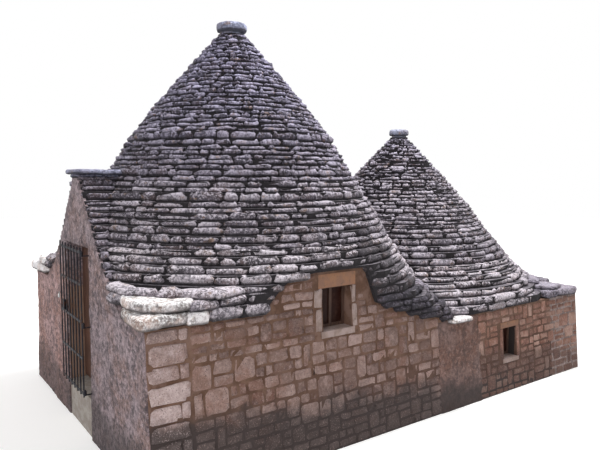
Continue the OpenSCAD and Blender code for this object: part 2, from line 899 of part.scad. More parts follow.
front_wall_right();
front_wall_left();
gable_shoulders();
gable_peak();
door_lintel();
inner_lintel();
thresholds();
right_wall_front();
right_wall_middle();
right_wall_rear();
left_wall_front();
left_wall_middle();
left_wall_rear();
party_wall();
cross_wall_piers();
cross_arch();
front_room_floor();
rear_room_floor();
window_lintels();
window_sills();
window_frames();
window_glass();
corner_slabs();
rear_corner_slabs();
valley_slabs();
main_cone_base();
main_cone_skirt();
main_cone_lower();
main_cone_middle();
main_cone_upper();
closing_slabs();
main_cone_crown();
main_pinnacle();
gable_roof();
gable_cap();
rear_cone_base();
rear_cone_lower();
rear_cone_upper();
rear_cone_crown();
rear_pinnacle();
gate_pintles();
gate_leaf();
gate_lock();
door_pintles();
door_leaf();
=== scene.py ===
import math

import bpy
import numpy as np
from mathutils import Matrix, Vector


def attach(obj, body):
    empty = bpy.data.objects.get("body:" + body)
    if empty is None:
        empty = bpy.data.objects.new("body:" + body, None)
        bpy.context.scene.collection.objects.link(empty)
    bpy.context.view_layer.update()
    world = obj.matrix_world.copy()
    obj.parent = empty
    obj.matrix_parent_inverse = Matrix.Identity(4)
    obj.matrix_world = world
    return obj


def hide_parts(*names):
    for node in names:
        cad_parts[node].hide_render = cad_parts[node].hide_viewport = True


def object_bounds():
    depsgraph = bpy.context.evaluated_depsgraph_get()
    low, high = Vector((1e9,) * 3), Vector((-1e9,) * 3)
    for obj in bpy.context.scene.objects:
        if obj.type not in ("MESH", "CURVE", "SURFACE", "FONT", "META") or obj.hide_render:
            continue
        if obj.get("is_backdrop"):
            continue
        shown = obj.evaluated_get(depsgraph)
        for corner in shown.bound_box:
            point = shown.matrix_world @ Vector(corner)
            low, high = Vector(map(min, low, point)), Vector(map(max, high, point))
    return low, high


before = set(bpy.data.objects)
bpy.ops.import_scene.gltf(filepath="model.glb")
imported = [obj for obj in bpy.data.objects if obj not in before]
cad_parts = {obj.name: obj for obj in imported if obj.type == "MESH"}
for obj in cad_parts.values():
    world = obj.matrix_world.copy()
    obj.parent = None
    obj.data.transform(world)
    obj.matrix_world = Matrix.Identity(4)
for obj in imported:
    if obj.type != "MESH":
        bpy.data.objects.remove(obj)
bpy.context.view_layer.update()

# The house's own sizes, in metres
HALF_W = 2.35          # half the house's width at the wall tops
BATTER = 0.15          # how far the walls lean in over the height of the front room
FRONT_Y = -2.3         # front wall's face; the main cone's axis is at 0
VALLEY_Y = 2.235       # where the two cones meet
FALL_Y = 0.7           # where the long walls' heads start to fall towards the valley
REAR_AXIS = 3.5
PARTY_Y = 5.5
FRONT_TOP = 1.8
REAR_TOP = 1.3
EAVE = 0.06            # how far the slabs stand out over the walls
DOOR_HALF = 0.52
DOOR_HEAD = 2.44
WALL_HEAD_T = 0.3
PROUD = 0.02           # how far the stones' faces stand outside the solids' courses
PARTY_PROUD = 0.006    # how far stones may stand past the end wall, and as much again by their tone
SHORTEST_RUN = 0.08    # no slabs are laid along a shorter edge
SHORTEST_STONE = 0.07  # no wall stone is laid in a shorter gap
LOWEST_STONE = 0.055   # nor in a lower one
CORNER_SLABS_H = 0.25  # height of the broad slabs at the front corners above the wall top
CORNER_LAYER_H = 0.1   # a course whose middle lies lower than this above the wall top meets the lowest ones
CORNER_SLABS_X = 1.66  # they lie further out than this
CORNER_SLABS_Y = (-1.62, -1.86)  # and nearer the front than this: the lowest ones, the upper ones
REAR_SLABS_R = 2.56    # the broad slabs at the rear corners lie further from the rear cone's axis than this
REAR_SLABS_Y = 4.4     # and behind this

# Thickness of each course of roof slabs, upwards from the wall top
MAIN_COURSES = 0.08 * np.array([
    1.65, 1.3, 1.05, 1.3, 1.15, 1.2, 0.9,
    0.8, 1.18, 1.1, 0.95, 0.95, 0.85, 0.8, 1.4, 0.7, 0.95,
    0.77, 1.1, 0.75, 0.8, 0.75, 0.75, 0.75, 0.94, 1.38, 0.75, 0.72, 0.67,
    0.78, 0.7, 0.75, 0.73, 0.8, 0.7, 0.75, 0.77, 0.7, 0.75, 0.72, 0.77, 0.7, 1,
    0.78, 0.72, 0.75, 0.78, 0.72, 0.76, 0.75, 0.74])
REAR_COURSES = 0.08 * np.array([
    1.38, 1.25, 1.31, 1.19, 0.9, 0.8, 1.05,
    1.25, 1.19, 1.12, 1.31, 1, 0.82, 0.8, 0.75, 0.81, 0.75,
    0.78, 0.75, 0.81, 0.75, 0.73, 0.78, 0.75, 0.73, 0.75, 0.78, 0.73, 0.75, 0.73, 1,
    0.75, 0.73, 0.75, 0.7, 0.75, 0.72, 0.65, 0.6])
SKIRT_COURSES = 0.08 * np.array([1, 1.06, 1, 1.06, 1, 1.13])

# Radius of the cones and half the width of the gable, by height above the wall top
MAIN_LINE = ([-0.5, 0.0, 0.55, 1.05, 1.55, 2.05, 2.55, 3.05, 3.6],
             [3.38, 2.77, 2.4, 2.11, 1.785, 1.49, 1.105, 0.67, 0.19])
REAR_LINE = ([0.0, 0.55, 1.05, 1.55, 2.05, 2.72],
             [2.62, 2.01, 1.59, 1.22, 0.78, 0.15])
GABLE_LINE = ([0, 0.16, 0.32, 0.48, 0.64, 0.792, 1.0, 1.2, 1.4, 1.52],
              [1.72, 1.44, 1.2, 1.02, 0.87, 0.74, 0.56, 0.38, 0.2, 0.15])
GABLE_COURSES = 18     # the course at which the slabs beside the gable end
GABLE_TOP = 3.32       # height of its peak above the ground

# Head of the long walls, seen from the side: place along the wall, height
WALL_HEAD = ([-2.4, -0.92, -0.86, -0.7, -0.55, -0.25, 0.56, 0.63, 0.76, 1.54, 2.235, 5.6],
             [1.8, 1.8, 1.92, 2.08, 2.16, 2.2, 2.2, 2.04, 1.72, 1.44, 1.3, 1.3])

# Windows of the long walls: middle, width, sill, height, lintel's height, sill's thickness
WINDOWS = ((0.14, 0.46, 1.465, 0.525, 0.17, 0.08), (3.575, 0.33, 0.505, 0.48, 0.09, 0.06))

SIDES = ((1, "right"), (-1, "left"))
AROUND = 12            # points round the outline of one stone
# Rings of a stone from its foot to its face: share of its depth, how far the outline draws in
SLAB_RINGS = ((0.0, 0.032), (0.27, 0.004), (0.7, 0.002), (1.0, 0.028))
FACE_RINGS = ((0.0, 0.0), (0.55, 0.001), (0.86, 0.007), (1.0, 0.018))
MOST_INSET = 0.42      # the most a ring draws in, as a share of half the stone's shorter side


# Shapes
def placed(name, data):
    """A new object in the scene."""
    made = bpy.data.objects.new(name, data)
    bpy.context.scene.collection.objects.link(made)
    return made


def joined(*parts):
    """Arrays and numbers side by side, along a new last axis."""
    return np.stack(np.broadcast_arrays(*parts), -1)


def new_piece(name, points, faces, finish, body="root", tone=None, smooth=True):
    """Puts arrays of points and faces into a mesh that rides on a body and takes its finish from a slot."""
    mesh = bpy.data.meshes.new(name)
    mesh.from_pydata(points.reshape(-1, 3), [], faces)
    mesh.update()
    if tone is not None:
        mesh.attributes.new("tone", "FLOAT", "POINT").data.foreach_set("value", tone.astype(np.float32))
    mesh.polygons.foreach_set("use_smooth", np.full(len(mesh.polygons), smooth))
    mesh.materials.append(finish)
    piece = placed(name, mesh)
    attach(piece, body)
    return piece


def ring_faces(rings, n):
    """Faces of one closed shape of rings of n points: the sides between rings, then strips at its foot and
    head, each of whose faces joins two points to the two across from them."""
    i = np.arange(n)
    j = np.arange(rings - 1)[:, None] * n
    side = joined(j + i, j + (i + 1) % n, j + n + (i + 1) % n, j + n + i).reshape(-1, 4)
    k = np.arange(n // 2 - 1)
    cap = joined(k, k + 1, n - 2 - k, n - 1 - k)
    return np.concatenate([side, cap[:, ::-1], cap + (rings - 1) * n])


def stones(name, where, first, second, third, size, rings, finish, seed, worn, wobble, square=0.32,
           tone=None):
    """Many loose stones as one mesh. Each outline is a rounded rectangle, cosine and sine of the angle raised
    to a small power, laid along its first and second axes, and carried along its third through rings that
    draw in by a set amount. Every point is moved a little at random, and each stone gets one random tone. No
    point goes below the ground or stands far past the end wall."""
    rng = np.random.default_rng(seed)
    count = len(where)
    rings = np.array(rings)
    turn = (np.arange(AROUND) + 0.5) * 2 * np.pi / AROUND
    ox, oy = (np.sign(way) * np.abs(way) ** square for way in (np.cos(turn), np.sin(turn)))
    half = size / 2
    wob = 1 + rng.normal(0, wobble, (count, 1, AROUND))
    inset = np.minimum(rings[None, :, 1], MOST_INSET * half[:, :2].min(1)[:, None])[..., None]
    a = ox * (half[:, 0, None, None] - inset) * wob
    b = oy * (half[:, 1, None, None] - inset) * wob
    c = np.broadcast_to((rings[None, :, 0, None] - 0.5) * size[:, 2, None, None], a.shape)
    lift = rng.normal(0, worn * 0.8, (count, 1, AROUND)) * (rings[None, :, 0, None] > 0.5)
    points = (where[:, None, None] + a[..., None] * first[:, None, None]
              + b[..., None] * second[:, None, None] + (c + lift)[..., None] * third[:, None, None])
    points += rng.normal(0, worn, points.shape)
    points[..., 2] = np.maximum(points[..., 2], 0)
    face = ring_faces(len(rings), AROUND)
    faces = (np.arange(count)[:, None, None] * len(rings) * AROUND + face).reshape(-1, 4)
    if tone is None:
        tone = rng.random(count)
    points[..., 1] = np.minimum(points[..., 1], PARTY_Y + PARTY_PROUD * (1 + tone[:, None, None]))
    return new_piece(name, points, faces, finish, tone=np.repeat(tone, len(rings) * AROUND))


def uneven(x, y, seed, size, octaves=3):
    """Smooth random heights over two coordinates, between about -1 and 1: a grid of random numbers, blended
    by 3t^2 - 2t^3 between its points, then the same at half the size and half the height, and so on."""
    rng = np.random.default_rng(seed)
    total = 0.0
    for k in range(octaves):
        grid = rng.uniform(-1, 1, (64, 64))
        u, v = x / size + 31.7, y / size + 17.3
        i, j = np.floor(u).astype(int), np.floor(v).astype(int)
        a, b = u - i, v - j
        a, b = a * a * (3 - 2 * a), b * b * (3 - 2 * b)
        i, j, i1, j1 = i % 64, j % 64, (i + 1) % 64, (j + 1) % 64
        total = total + 0.5 ** k * ((grid[i, j] * (1 - a) + grid[i1, j] * a) * (1 - b)
                                    + (grid[i, j1] * (1 - a) + grid[i1, j1] * a) * b)
        size = size / 2
    return total


def coat(name, front, back, finish):
    """A closed coat between two grids of points, rows upwards and columns to the right as seen from its
    front. A rim of faces joins the edges of the two."""
    rows, cols = front.shape[:2]
    at = np.arange(rows * cols).reshape(rows, cols)
    far = at + rows * cols
    rim = np.concatenate([at[0, :-1], at[:-1, -1], at[-1, :0:-1], at[:0:-1, 0]])
    after = np.roll(rim, -1)
    faces = np.concatenate([
        joined(at[:-1, :-1], at[:-1, 1:], at[1:, 1:], at[1:, :-1]).reshape(-1, 4),
        joined(far[:-1, :-1], far[1:, :-1], far[1:, 1:], far[:-1, 1:]).reshape(-1, 4),
        joined(after, rim, rim + rows * cols, after + rows * cols)])
    return new_piece(name, np.concatenate([front.reshape(-1, 3), back.reshape(-1, 3)]), faces, finish)


def boxes(name, low, high, bevel, finish, body):
    """Boxes between pairs of corners, as one mesh, with every edge bevelled by the same amount: rings of
    eight points, drawn in by the bevel at the lowest and the highest level."""
    low, high = np.array(low, float), np.array(high, float)
    middle, half = (low + high) / 2, (high - low) / 2
    way_x = np.array([1, 1, 1, -1, -1, -1, -1, 1])
    way_y = np.array([-1, 1, 1, 1, 1, -1, -1, -1])
    short = np.array([0, 0, 1, 1, 0, 0, 1, 1])
    ring = np.array([[-1, 1], [-1, 0], [1, 0], [1, 1]])
    inset = ring[None, :, 1, None] * bevel
    x = way_x * (half[:, 0, None, None] - inset - short * bevel)
    y = way_y * (half[:, 1, None, None] - inset - (1 - short) * bevel)
    z = ring[None, :, 0, None] * (half[:, 2, None, None] - (1 - ring[None, :, 1, None]) * bevel) + 0 * x
    points = joined(x, y, z) + middle[:, None, None]
    rings, n = len(ring), len(way_x)
    faces = (np.arange(len(low))[:, None, None] * rings * n + ring_faces(rings, n)).reshape(-1, 4)
    return new_piece(name, points, faces, finish, body, smooth=False)


# Profile of a broad slab, from the middle of its foot round to its head: shares of its height and its reach
PLATE = np.array([[0.0, 0.4], [0.0, 0.8], [0.06, 0.955], [0.24, 1.0], [0.55, 1.012], [0.82, 0.995],
                  [0.97, 0.945], [1.0, 0.8], [1.0, 0.4]])


def sums(steps):
    """Nought, then the steps added up one by one."""
    return np.concatenate([[0], np.cumsum(steps)])


def along_line(line):
    """How far along a line in plan each of its points lies."""
    return sums(np.linalg.norm(np.diff(line, axis=0), axis=1))


def points_at(at, along, line):
    """Points of a line in plan, by how far along it they lie."""
    return joined(np.interp(at, along, line[:, 0]), np.interp(at, along, line[:, 1]))


def plates(name, shapes, finish, seed, rough=0.01, profile=PLATE, n=44):
    """Broad slabs as one mesh. Each is an outline in plan, by its corners, between two heights. Rings of
    points run from the middle of its foot out over its edge and in to the middle of its head, the share of
    the height and of the way out given by the profile, and every point is moved by smooth random amounts."""
    rng = np.random.default_rng(seed)
    points, faces, tones, first = [], [], [], 0
    j = np.arange(n)
    j1 = (j + 1) % n
    for number, (corners, low, high) in enumerate(shapes):
        corners = np.array(corners, float)
        line = np.concatenate([corners, corners[:1]])
        along = along_line(line)
        edge = points_at(np.linspace(0, along[-1], n, endpoint=False), along, line)
        for _ in range(2):
            edge = 0.5 * edge + 0.25 * np.roll(edge, 1, 0) + 0.25 * np.roll(edge, -1, 0)
        centre = edge.mean(0)
        flat = centre + (edge - centre) * profile[:, 1, None, None] * (1 + rng.normal(0, 0.008, (1, n, 1)))
        z = low + (high - low) * profile[:, 0, None]
        z = z + rough * uneven(flat[..., 0] + number, flat[..., 1], seed, 0.11)
        flat = flat + rough * 0.9 * joined(uneven(flat[..., 0] * 1.3, z + flat[..., 1], seed + 1, 0.09),
                                           uneven(flat[..., 1] * 1.3, z + flat[..., 0], seed + 2, 0.09))
        ring = np.concatenate([flat, z[..., None]], -1).reshape(-1, 3)
        foot, head = np.append(flat[0].mean(0), z[0].mean()), np.append(flat[-1].mean(0), z[-1].mean())
        points.append(np.concatenate([ring, [foot, head]]))
        rings = len(profile)
        side = (np.arange(rings - 1)[:, None, None] * n + joined(j, j1, j1 + n, j + n)).reshape(-1, 4)
        last = (rings - 1) * n
        foot_fan = joined(rings * n, j1, j)
        head_fan = joined(rings * n + 1, j + last, j1 + last)
        faces += [face for part in (side, foot_fan, head_fan) for face in (part + first).tolist()]
        first += rings * n + 2
        tones.append(np.full(rings * n + 2, rng.random()))
    return new_piece(name, np.concatenate(points), faces, finish, tone=np.concatenate(tones))


def unit(v):
    """The vectors at length one."""
    return v / np.maximum(np.linalg.norm(v, axis=-1, keepdims=True), 1e-9)


class Courses:
    """Gathers the stones of one piece of roof, course by course."""

    def __init__(self, name, seed):
        self.name, self.rng, self.seed = name, np.random.default_rng(seed), seed
        self.parts, self.tones = [], []

    def add(self, path, low, high, mean, spread=0.55, depth=0.22, out=0.0, tilt=0.05, gap=0.006, shade=None):
        """One run of slabs end to end along a path in plan, between two levels, their outer faces near the
        path. Their lengths are random and scaled to fill it. shade tells what their tones lose, by their
        places in plan."""
        along = along_line(path)
        if along[-1] < SHORTEST_RUN:
            return
        n = max(1, int(round(along[-1] / mean)))
        ends = sums(self.rng.uniform(1 - spread, 1 + spread, n))
        at = points_at(ends * (along[-1] / ends[-1]), along, path)
        run = at[1:] - at[:-1]
        middle, way, length = (at[1:] + at[:-1]) / 2, unit(run), np.linalg.norm(run, axis=1)
        yaw = self.rng.normal(0, 0.045, n)
        way = joined(way[:, 0] * np.cos(yaw) - way[:, 1] * np.sin(yaw),
                     way[:, 0] * np.sin(yaw) + way[:, 1] * np.cos(yaw))
        away = joined(way[:, 1], -way[:, 0], 0.0)
        up = np.broadcast_to([0.0, 0.0, 1.0], (n, 3))
        lean = self.rng.normal(tilt, 0.035, n)[:, None]
        second = unit(away * np.cos(lean) - up * np.sin(lean))
        third = unit(up * np.cos(lean) + away * np.sin(lean))
        first = np.cross(second, third)
        face = out + self.rng.uniform(-0.01, 0.016, n)
        deep = depth * self.rng.uniform(0.85, 1.15, n)
        thick = (high - low) + self.rng.uniform(-0.008, 0.008, n)
        rise = low + thick / 2 + self.rng.uniform(-0.001, 0.006, n)
        centre = np.concatenate([middle, rise[:, None]], -1) + away * (face - deep / 2)[:, None]
        tone = self.rng.random(n)
        self.tones.append(tone - shade(middle) if shade else tone)
        self.parts.append((centre, first, second, third, joined(np.maximum(length - gap, 0.05), deep, thick)))

    def add_kept(self, points, keep, *more, **options):
        """Lays a course along each kept stretch of its edge. A whole ring starts at a random place."""
        if keep.all():
            points = np.roll(points[:-1], self.rng.integers(len(points)), 0)
            points = np.concatenate([points, points[:1]])
        change = np.flatnonzero(np.diff(np.concatenate([[0], keep.astype(int), [0]])))
        for a, b in change.reshape(-1, 2):
            self.add(points[a:b], *more, **options)

    def build(self, finish):
        """Makes the piece of all stones gathered."""
        centre, first, second, third, size = [np.concatenate(p) for p in zip(*self.parts)]
        stones(self.name, centre, first, second, third, size, SLAB_RINGS, finish, self.seed + 1,
               worn=0.0062, wobble=0.05, tone=np.concatenate(self.tones))


def around(radius, front, back, gate=0.0, reach=0.0, in_corner=None):
    """Edge of a course seen from above, as points by angle from the front, through the right, to the front
    again: the nearer of a circle and the box that the slabs are cut to. gate is half the width left out at
    the front. Where reach is given, the circle is that large at the places along the house that in_corner
    tells."""
    turn = np.linspace(0, 2 * np.pi, 1801)
    s, c = np.sin(turn), np.cos(turn)
    box = np.minimum((HALF_W + EAVE) / np.maximum(np.abs(s), 1e-9),
                     np.where(c > 0, front, back) / np.maximum(np.abs(c), 1e-9))
    points, plain = (joined(s, -c) * np.minimum(r, box)[:, None] for r in (max(radius, reach), radius))
    keep = ~((np.abs(points[:, 0]) < gate) & (c > 0))
    return np.where(in_corner(points[:, 1:]), points, plain) if reach else points, keep


# Materials
class Value:
    """A number on its way through a material. Sums and products with it add Math nodes."""

    def __init__(self, finish, socket):
        self.finish, self.socket = finish, socket

    def _math(self, operation, *values):
        """Adds a Math node."""
        return self.finish.node("Math", {"operation": operation}, dict(enumerate(values)))

    def __add__(self, other):
        return self._math("ADD", self, other)

    def __radd__(self, other):
        return self._math("ADD", other, self)

    def __sub__(self, other):
        return self._math("SUBTRACT", self, other)

    def __rsub__(self, other):
        return self._math("SUBTRACT", other, self)

    def __mul__(self, other):
        return self._math("MULTIPLY", self, other)

    def __rmul__(self, other):
        return self._math("MULTIPLY", other, self)

    def __neg__(self):
        return self._math("MULTIPLY", self, -1.0)

    def __lt__(self, other):
        return self._math("LESS_THAN", self, other)

    def __abs__(self):
        return self._math("ABSOLUTE", self)


class Finish:
    """One material, or the world's light. place is where a point lies on the object, in metres."""

    def __init__(self, name, owner=None):
        self.material = owner or bpy.data.materials.new(name)
        self.material.use_nodes = True
        self.tree = self.material.node_tree
        self.tree.nodes.clear()
        self.place = self.node("TexCoord", out="Object")

    def node(self, kind, settings=(), inputs=(), out=0):
        """Adds a node: its settings first, a ramp's stops among them, then the values or links of its
        sockets. Gives what comes out of it."""
        made = self.tree.nodes.new("ShaderNode" + kind)
        for key, value in dict(settings).items():
            if key == "stops":
                ramp = made.color_ramp
                while len(ramp.elements) < len(value):
                    ramp.elements.new(0.5)
                for stop, (at, colour) in zip(ramp.elements, value):
                    stop.position, stop.color = at, (*colour, 1)
            else:
                setattr(made, key, value)
        for key, value in dict(inputs).items():
            socket = made.inputs[key]
            if isinstance(value, Value):
                self.tree.links.new(socket, value.socket)
            else:
                socket.default_value = (*value, 1) if socket.type == "RGBA" else value
        return Value(self, made.outputs[out]) if len(made.outputs) else None

    def noise(self, scale, rough=0.55, detail=5.0, place=None, warp=0.0):
        """Cloudy patches between 0 and 1, most of them near a half."""
        return self.node("TexNoise", {}, {"Vector": place or self.place, "Scale": scale, "Detail": detail,
                                          "Roughness": rough, "Distortion": warp})

    def cells(self, scale, place=None):
        """How far the nearest of many scattered points lies."""
        return self.node("TexVoronoi", {}, {"Vector": place or self.place, "Scale": scale}, "Distance")

    def ramp(self, value, *stops):
        """The colour for a value. Each stop is a value and its colour."""
        return self.node("ValToRGB", {"stops": stops}, {"Fac": value})

    def step(self, value, low, high):
        """0 below low, 1 above high, 3t^2 - 2t^3 between."""
        return self.node("MapRange", {"interpolation_type": "SMOOTHSTEP"},
                         {"Value": value, "From Min": low, "From Max": high})

    def mix(self, share, a, b, way="MIX"):
        """Colour a with a share of colour b, plainly or in another way of blending."""
        return self.node("Mix", {"data_type": "RGBA", "blend_type": way}, {0: share, 6: a, 7: b}, 2)

    def layers(self, colour, *coats):
        """A colour under coats of others. Each coat is its colour, a pattern, the two levels of the pattern
        between which it comes in, and the most of it that shows, where that isn't all."""
        for tint, pattern, low, high, *most in coats:
            share = self.step(pattern, low, high)
            colour = self.mix(share * most[0] if most else share, colour, tint)
        return colour

    def vector(self, operation, *values, out="Vector"):
        """Vector maths. out is Value where the answer is a number."""
        return self.node("VectorMath", {"operation": operation}, dict(enumerate(values)), out)

    def axis(self, which, vector=None):
        """One coordinate of a vector, or of the place: 0 is X, 1 is Y, 2 is Z."""
        return self.node("SeparateXYZ", {}, {0: vector or self.place}, which)

    def normal(self):
        """Which way the surface faces."""
        return self.node("NewGeometry", out="Normal")

    def tone(self):
        """The tone of the stone that the point lies on."""
        return self.node("Attribute", {"attribute_name": "tone"}, {}, "Fac")

    def stretched(self, x, y, z):
        """The place scaled along each axis, for a pattern that is long in one direction."""
        return self.node("Mapping", {}, {"Vector": self.place, "Scale": (x, y, z)})

    def finish(self, colour, rough, height=None, distance=0.004, strength=1.0, **fixed):
        """Puts colour, roughness and a bump on the shader, and constant values on its own sockets."""
        inputs = {"Base Color": colour, "Roughness": rough}
        if height is not None:
            bump = {"Height": height, "Distance": distance, "Strength": strength}
            inputs["Normal"] = self.node("Bump", {}, bump)
        inputs.update({key.replace("_", " "): value for key, value in fixed.items()})
        self.node("OutputMaterial", {}, {"Surface": self.node("BsdfPrincipled", {}, inputs)})
        return self.material


def times(colour, factor):
    """A colour times a factor, or times one for each channel, at most 1."""
    return tuple(np.minimum(np.multiply(colour, factor), 1).tolist())


def roof_stone(name, dark, mid, pale, lichen=0.5, bleach_and_highlight=0.5, pit=1.0):
    """Weathered limestone slabs: a tone for each stone, earthy patches, pale patches partly of bleaching and
    partly painted highlight, more of them on faces turned up, lichen, pits, painted shade on the undersides,
    and a bluish tint high up. Stones with a tone below zero stand in the shade: they are painted darker as
    shade, partly as moss, and mottled instead of bleached."""
    f = Finish(name)
    tone = f.tone()
    sunny = f.step(tone, -0.4, -0.02)
    shaded = 1 - sunny
    blotch, coarse, fine = f.noise(7.0, 0.6), f.noise(31.0, 0.62), f.noise(66.0, 0.65)
    up = f.axis(2, f.normal())
    white = times(pale, 1.6)
    pits = f.step(f.cells(52.0, f.stretched(1, 1, 1.4)), 0.12, 0.46)
    colour = f.layers(
        f.ramp(tone * 0.55 + blotch + coarse * 0.9 - 0.73, (0.18, dark), (0.48, mid), (0.82, pale)),
        (times(mid, (0.68, 0.46, 0.34)), f.noise(3.4, 0.68), 0.46, 0.62, 0.5),
        # Painted highlight: pale patches, partly real bleaching, come in more on faces turned up
        (white, coarse + up * 0.1, 0.52, 0.64, sunny * bleach_and_highlight),
        ((0.3, 0.175, 0.085), f.noise(9.0, 0.7), 0.58, 0.66, sunny * lichen),
        (white, fine + tone * 0.1, 0.58, 0.7, sunny * 0.35 + 0.2))
    colour = f.layers(colour, (f.mix(1.0, colour, (0.91, 0.95, 1.16), "MULTIPLY"), f.axis(2), 2.7, 5.0, 0.8))
    # Stones in the shade, tone below zero: painted darker as shade, partly moss, then mottled paler
    colour = f.layers(
        f.mix(shaded * 0.5, colour, times(dark, 0.3)),
        (times(mid, 1.2), coarse + blotch * 0.5, 0.72, 0.92, shaded * 0.8),
        (times(dark, 0.25), -coarse, -0.55, -0.42, (1 - pits) * (0.9 * pit)),
        (times(dark, 0.6), -blotch - coarse * 0.6, -0.76, -0.64, 0.5 * pit),
        # Painted shade on the faces turned down, under each slab
        (times(dark, 0.3), -up, 0.1, 0.55, 0.8))
    return f.finish(colour, 0.92, coarse * 0.9 + fine * 0.5 + pits * 0.6, 0.016, 0.95)


def smeared(f, colour, share=0.6):
    """Remains of an old lime coat that run on over stones and joints alike, mostly on the upper wall."""
    return f.layers(colour, ((0.212, 0.13, 0.104), f.noise(2.6, 0.66), 0.49, 0.58,
                             f.step(f.axis(2), 0.4, 1.4) * share))


def darkened(f, colour, damp, rise=0.0):
    """Damp and moss at the foot of a wall. Their uneven edge lies 0.11 m lower with each metre towards the
    rear, and rise lifts it."""
    level = f.axis(2) + f.axis(1) * 0.11 + 0.2
    edge = f.noise(1.5, 0.68, 6.0) * 0.9 - level
    return f.layers(colour, ((0.04, 0.031, 0.031), edge, -0.52 - rise, -0.24 - rise, damp))


def wall_stone(name, dark, mid, pale, damp=0.85, rise=0.0, stain=0.45, smear=0.55):
    """Squared limestone of the long walls: a tone for each stone, stains of red earth, lime smears, damp at
    the foot, pits and specks."""
    f = Finish(name)
    coarse, fine = f.noise(17.0, 0.64), f.noise(70.0, 0.65)
    colour = f.layers(
        f.ramp(f.tone() * 0.75 + coarse * 1.3 - 0.52, (0.12, dark), (0.5, mid), (0.92, pale)),
        ((0.2, 0.082, 0.048), f.noise(3.1, 0.6, 4.0), 0.47, 0.62, stain),
        (pale, f.noise(7.0, 0.68), 0.53, 0.63, 0.45))
    pits = f.step(f.cells(48.0), 0.08, 0.36)
    colour = f.layers(
        darkened(f, smeared(f, colour, smear), damp, rise),
        ((0.04, 0.026, 0.024), coarse, 0.44, 0.56, (1 - pits) * 0.75),
        ((0.055, 0.034, 0.03), fine, 0.56, 0.67, 0.45),
        (times(pale, 1.4), -fine, -0.44, -0.34, 0.35))
    return f.finish(colour, 0.93, coarse * 0.9 + fine * 0.5 + pits * 0.5, 0.013, 0.95)


def plaster(name, base, stain, lichen, share=0.6, damp=0.6, rise=-0.35, warm=0.0):
    """Old lime plaster: broad pinkish stains, rain streaks, dark lichen in blotches and specks, damp at the
    foot, and, where warm is given, bare earth-coloured lime to the left of the doorway."""
    f = Finish(name)
    blot, speck, fine = f.noise(7.5, 0.72, 6.0), f.noise(21.0, 0.74), f.noise(46.0, 0.68)
    streak = f.noise(5.0, 0.65, place=f.stretched(3.2, 3.2, 0.6))
    colour = f.layers(
        base,
        (stain, f.noise(1.9, 0.6), 0.42, 0.58),
        (times(base, 1.45), f.noise(3.4, 0.68), 0.5, 0.58, 0.55),
        (times(base, 0.45), streak, 0.5, 0.62, 0.35),
        (lichen, blot, 0.5, 0.57, share),
        (times(lichen, 0.6), speck, 0.53, 0.6, share),
        (times(base, 1.9), -speck, -0.46, -0.39, 0.55))
    if warm:
        bare = f.step(-f.axis(0), 0.4, 0.8) * f.step(-f.axis(2), -2.4, -1.7)
        colour = f.mix(bare * warm, colour, f.mix(1.0, colour, (1.45, 1.2, 1.08), "MULTIPLY"))
    colour = f.layers(darkened(f, colour, damp, rise), (times(base, 0.3), fine, 0.56, 0.66, 0.5))
    return f.finish(colour, 0.94, blot * 0.8 + fine * 0.6 + speck * 0.7, 0.014, 0.95)


OLD_WASH = (0.44, 0.39, 0.33)  # colour of limewash that has yellowed


def core_stone(name, centre_y):
    """The solid of a cone: near black outside, partly dark packed stone and partly painted shade where it
    shows between the slabs, limewashed rings of stone inside, bare stone in the doorway. Inside is where the
    surface faces the cone's axis or down and lies near the axis."""
    f = Finish(name)
    radial = f.vector("MULTIPLY", f.vector("SUBTRACT", f.place, (0, centre_y, 0)), (1, 1, 0))
    facing = f.vector("DOT_PRODUCT", radial, f.normal(), out="Value")
    away = f.vector("LENGTH", radial, out="Value")
    up = f.axis(2, f.normal())
    inside = f.step(-facing - up * 0.6, 0.05, 0.25) * (away < 1.6)
    grain = f.noise(22.0, 0.6)
    lime = f.layers((0.62, 0.59, 0.53), (OLD_WASH, f.noise(6.0, 0.6), 0.42, 0.66))
    ledge = f.layers((0.07, 0.062, 0.075), ((0.17, 0.15, 0.17), grain, 0.4, 0.6))
    # Painted shade: the outside is near black where it shows in the gaps between the slabs, partly dark
    # packing
    packing_and_shade = f.layers((0.01, 0.008, 0.01), ((0.021, 0.0168, 0.021), grain, 0.4, 0.7), (ledge, up, 0.5, 0.9))
    doorway = (abs(f.axis(0)) < 0.66) * (f.axis(1) < -1.48) * (f.axis(2) < 2.48)
    jamb = f.layers((0.3, 0.2, 0.15), ((0.2, 0.13, 0.1), grain, 0.4, 0.7))
    colour = f.mix(doorway, f.mix(inside, packing_and_shade, lime), jamb)
    return f.finish(colour, 0.95, grain + f.noise(60.0, detail=4.0) * 0.4, 0.006, 0.7)


def wall_core(name, wash=(0.6, 0.57, 0.51), wash_old=OLD_WASH):
    """The solid of a wall: earth and lime mortar outside, limewash inside and in the openings, and painted
    shade in the reveals round the rear windows."""
    f = Finish(name)
    grain = f.noise(38.0, 0.65)
    colour = f.layers(
        (0.105, 0.052, 0.032), ((0.185, 0.105, 0.072), f.noise(4.5, 0.6), 0.38, 0.66),
        ((0.06, 0.03, 0.026), f.noise(1.8, 0.6, 4.0) - f.axis(2), -0.8, 0.15, 0.7),
        ((0.045, 0.03, 0.026), grain, 0.55, 0.7, 0.5))
    y, w, sill, h = WINDOWS[1][:4]
    # Painted shade: the reveals of the rear windows are near black
    reveal = (abs(f.axis(1) - y) < w / 2 + 0.004) * (abs(f.axis(2) - sill - h / 2) < h / 2 + 0.004) * (
        abs(f.axis(0)) < 2.408)
    colour = f.mix(reveal, darkened(f, smeared(f, colour), 0.85), (0.022, 0.015, 0.014))
    lime = f.layers(wash, (wash_old, f.noise(3.0, 0.6), 0.45, 0.7))
    colour = f.layers(colour, (lime, -abs(f.axis(0)), -2.16, -2.06))
    return f.finish(colour, 0.95, grain + f.noise(9.0, detail=4.0) * 0.8, 0.01, 0.8)


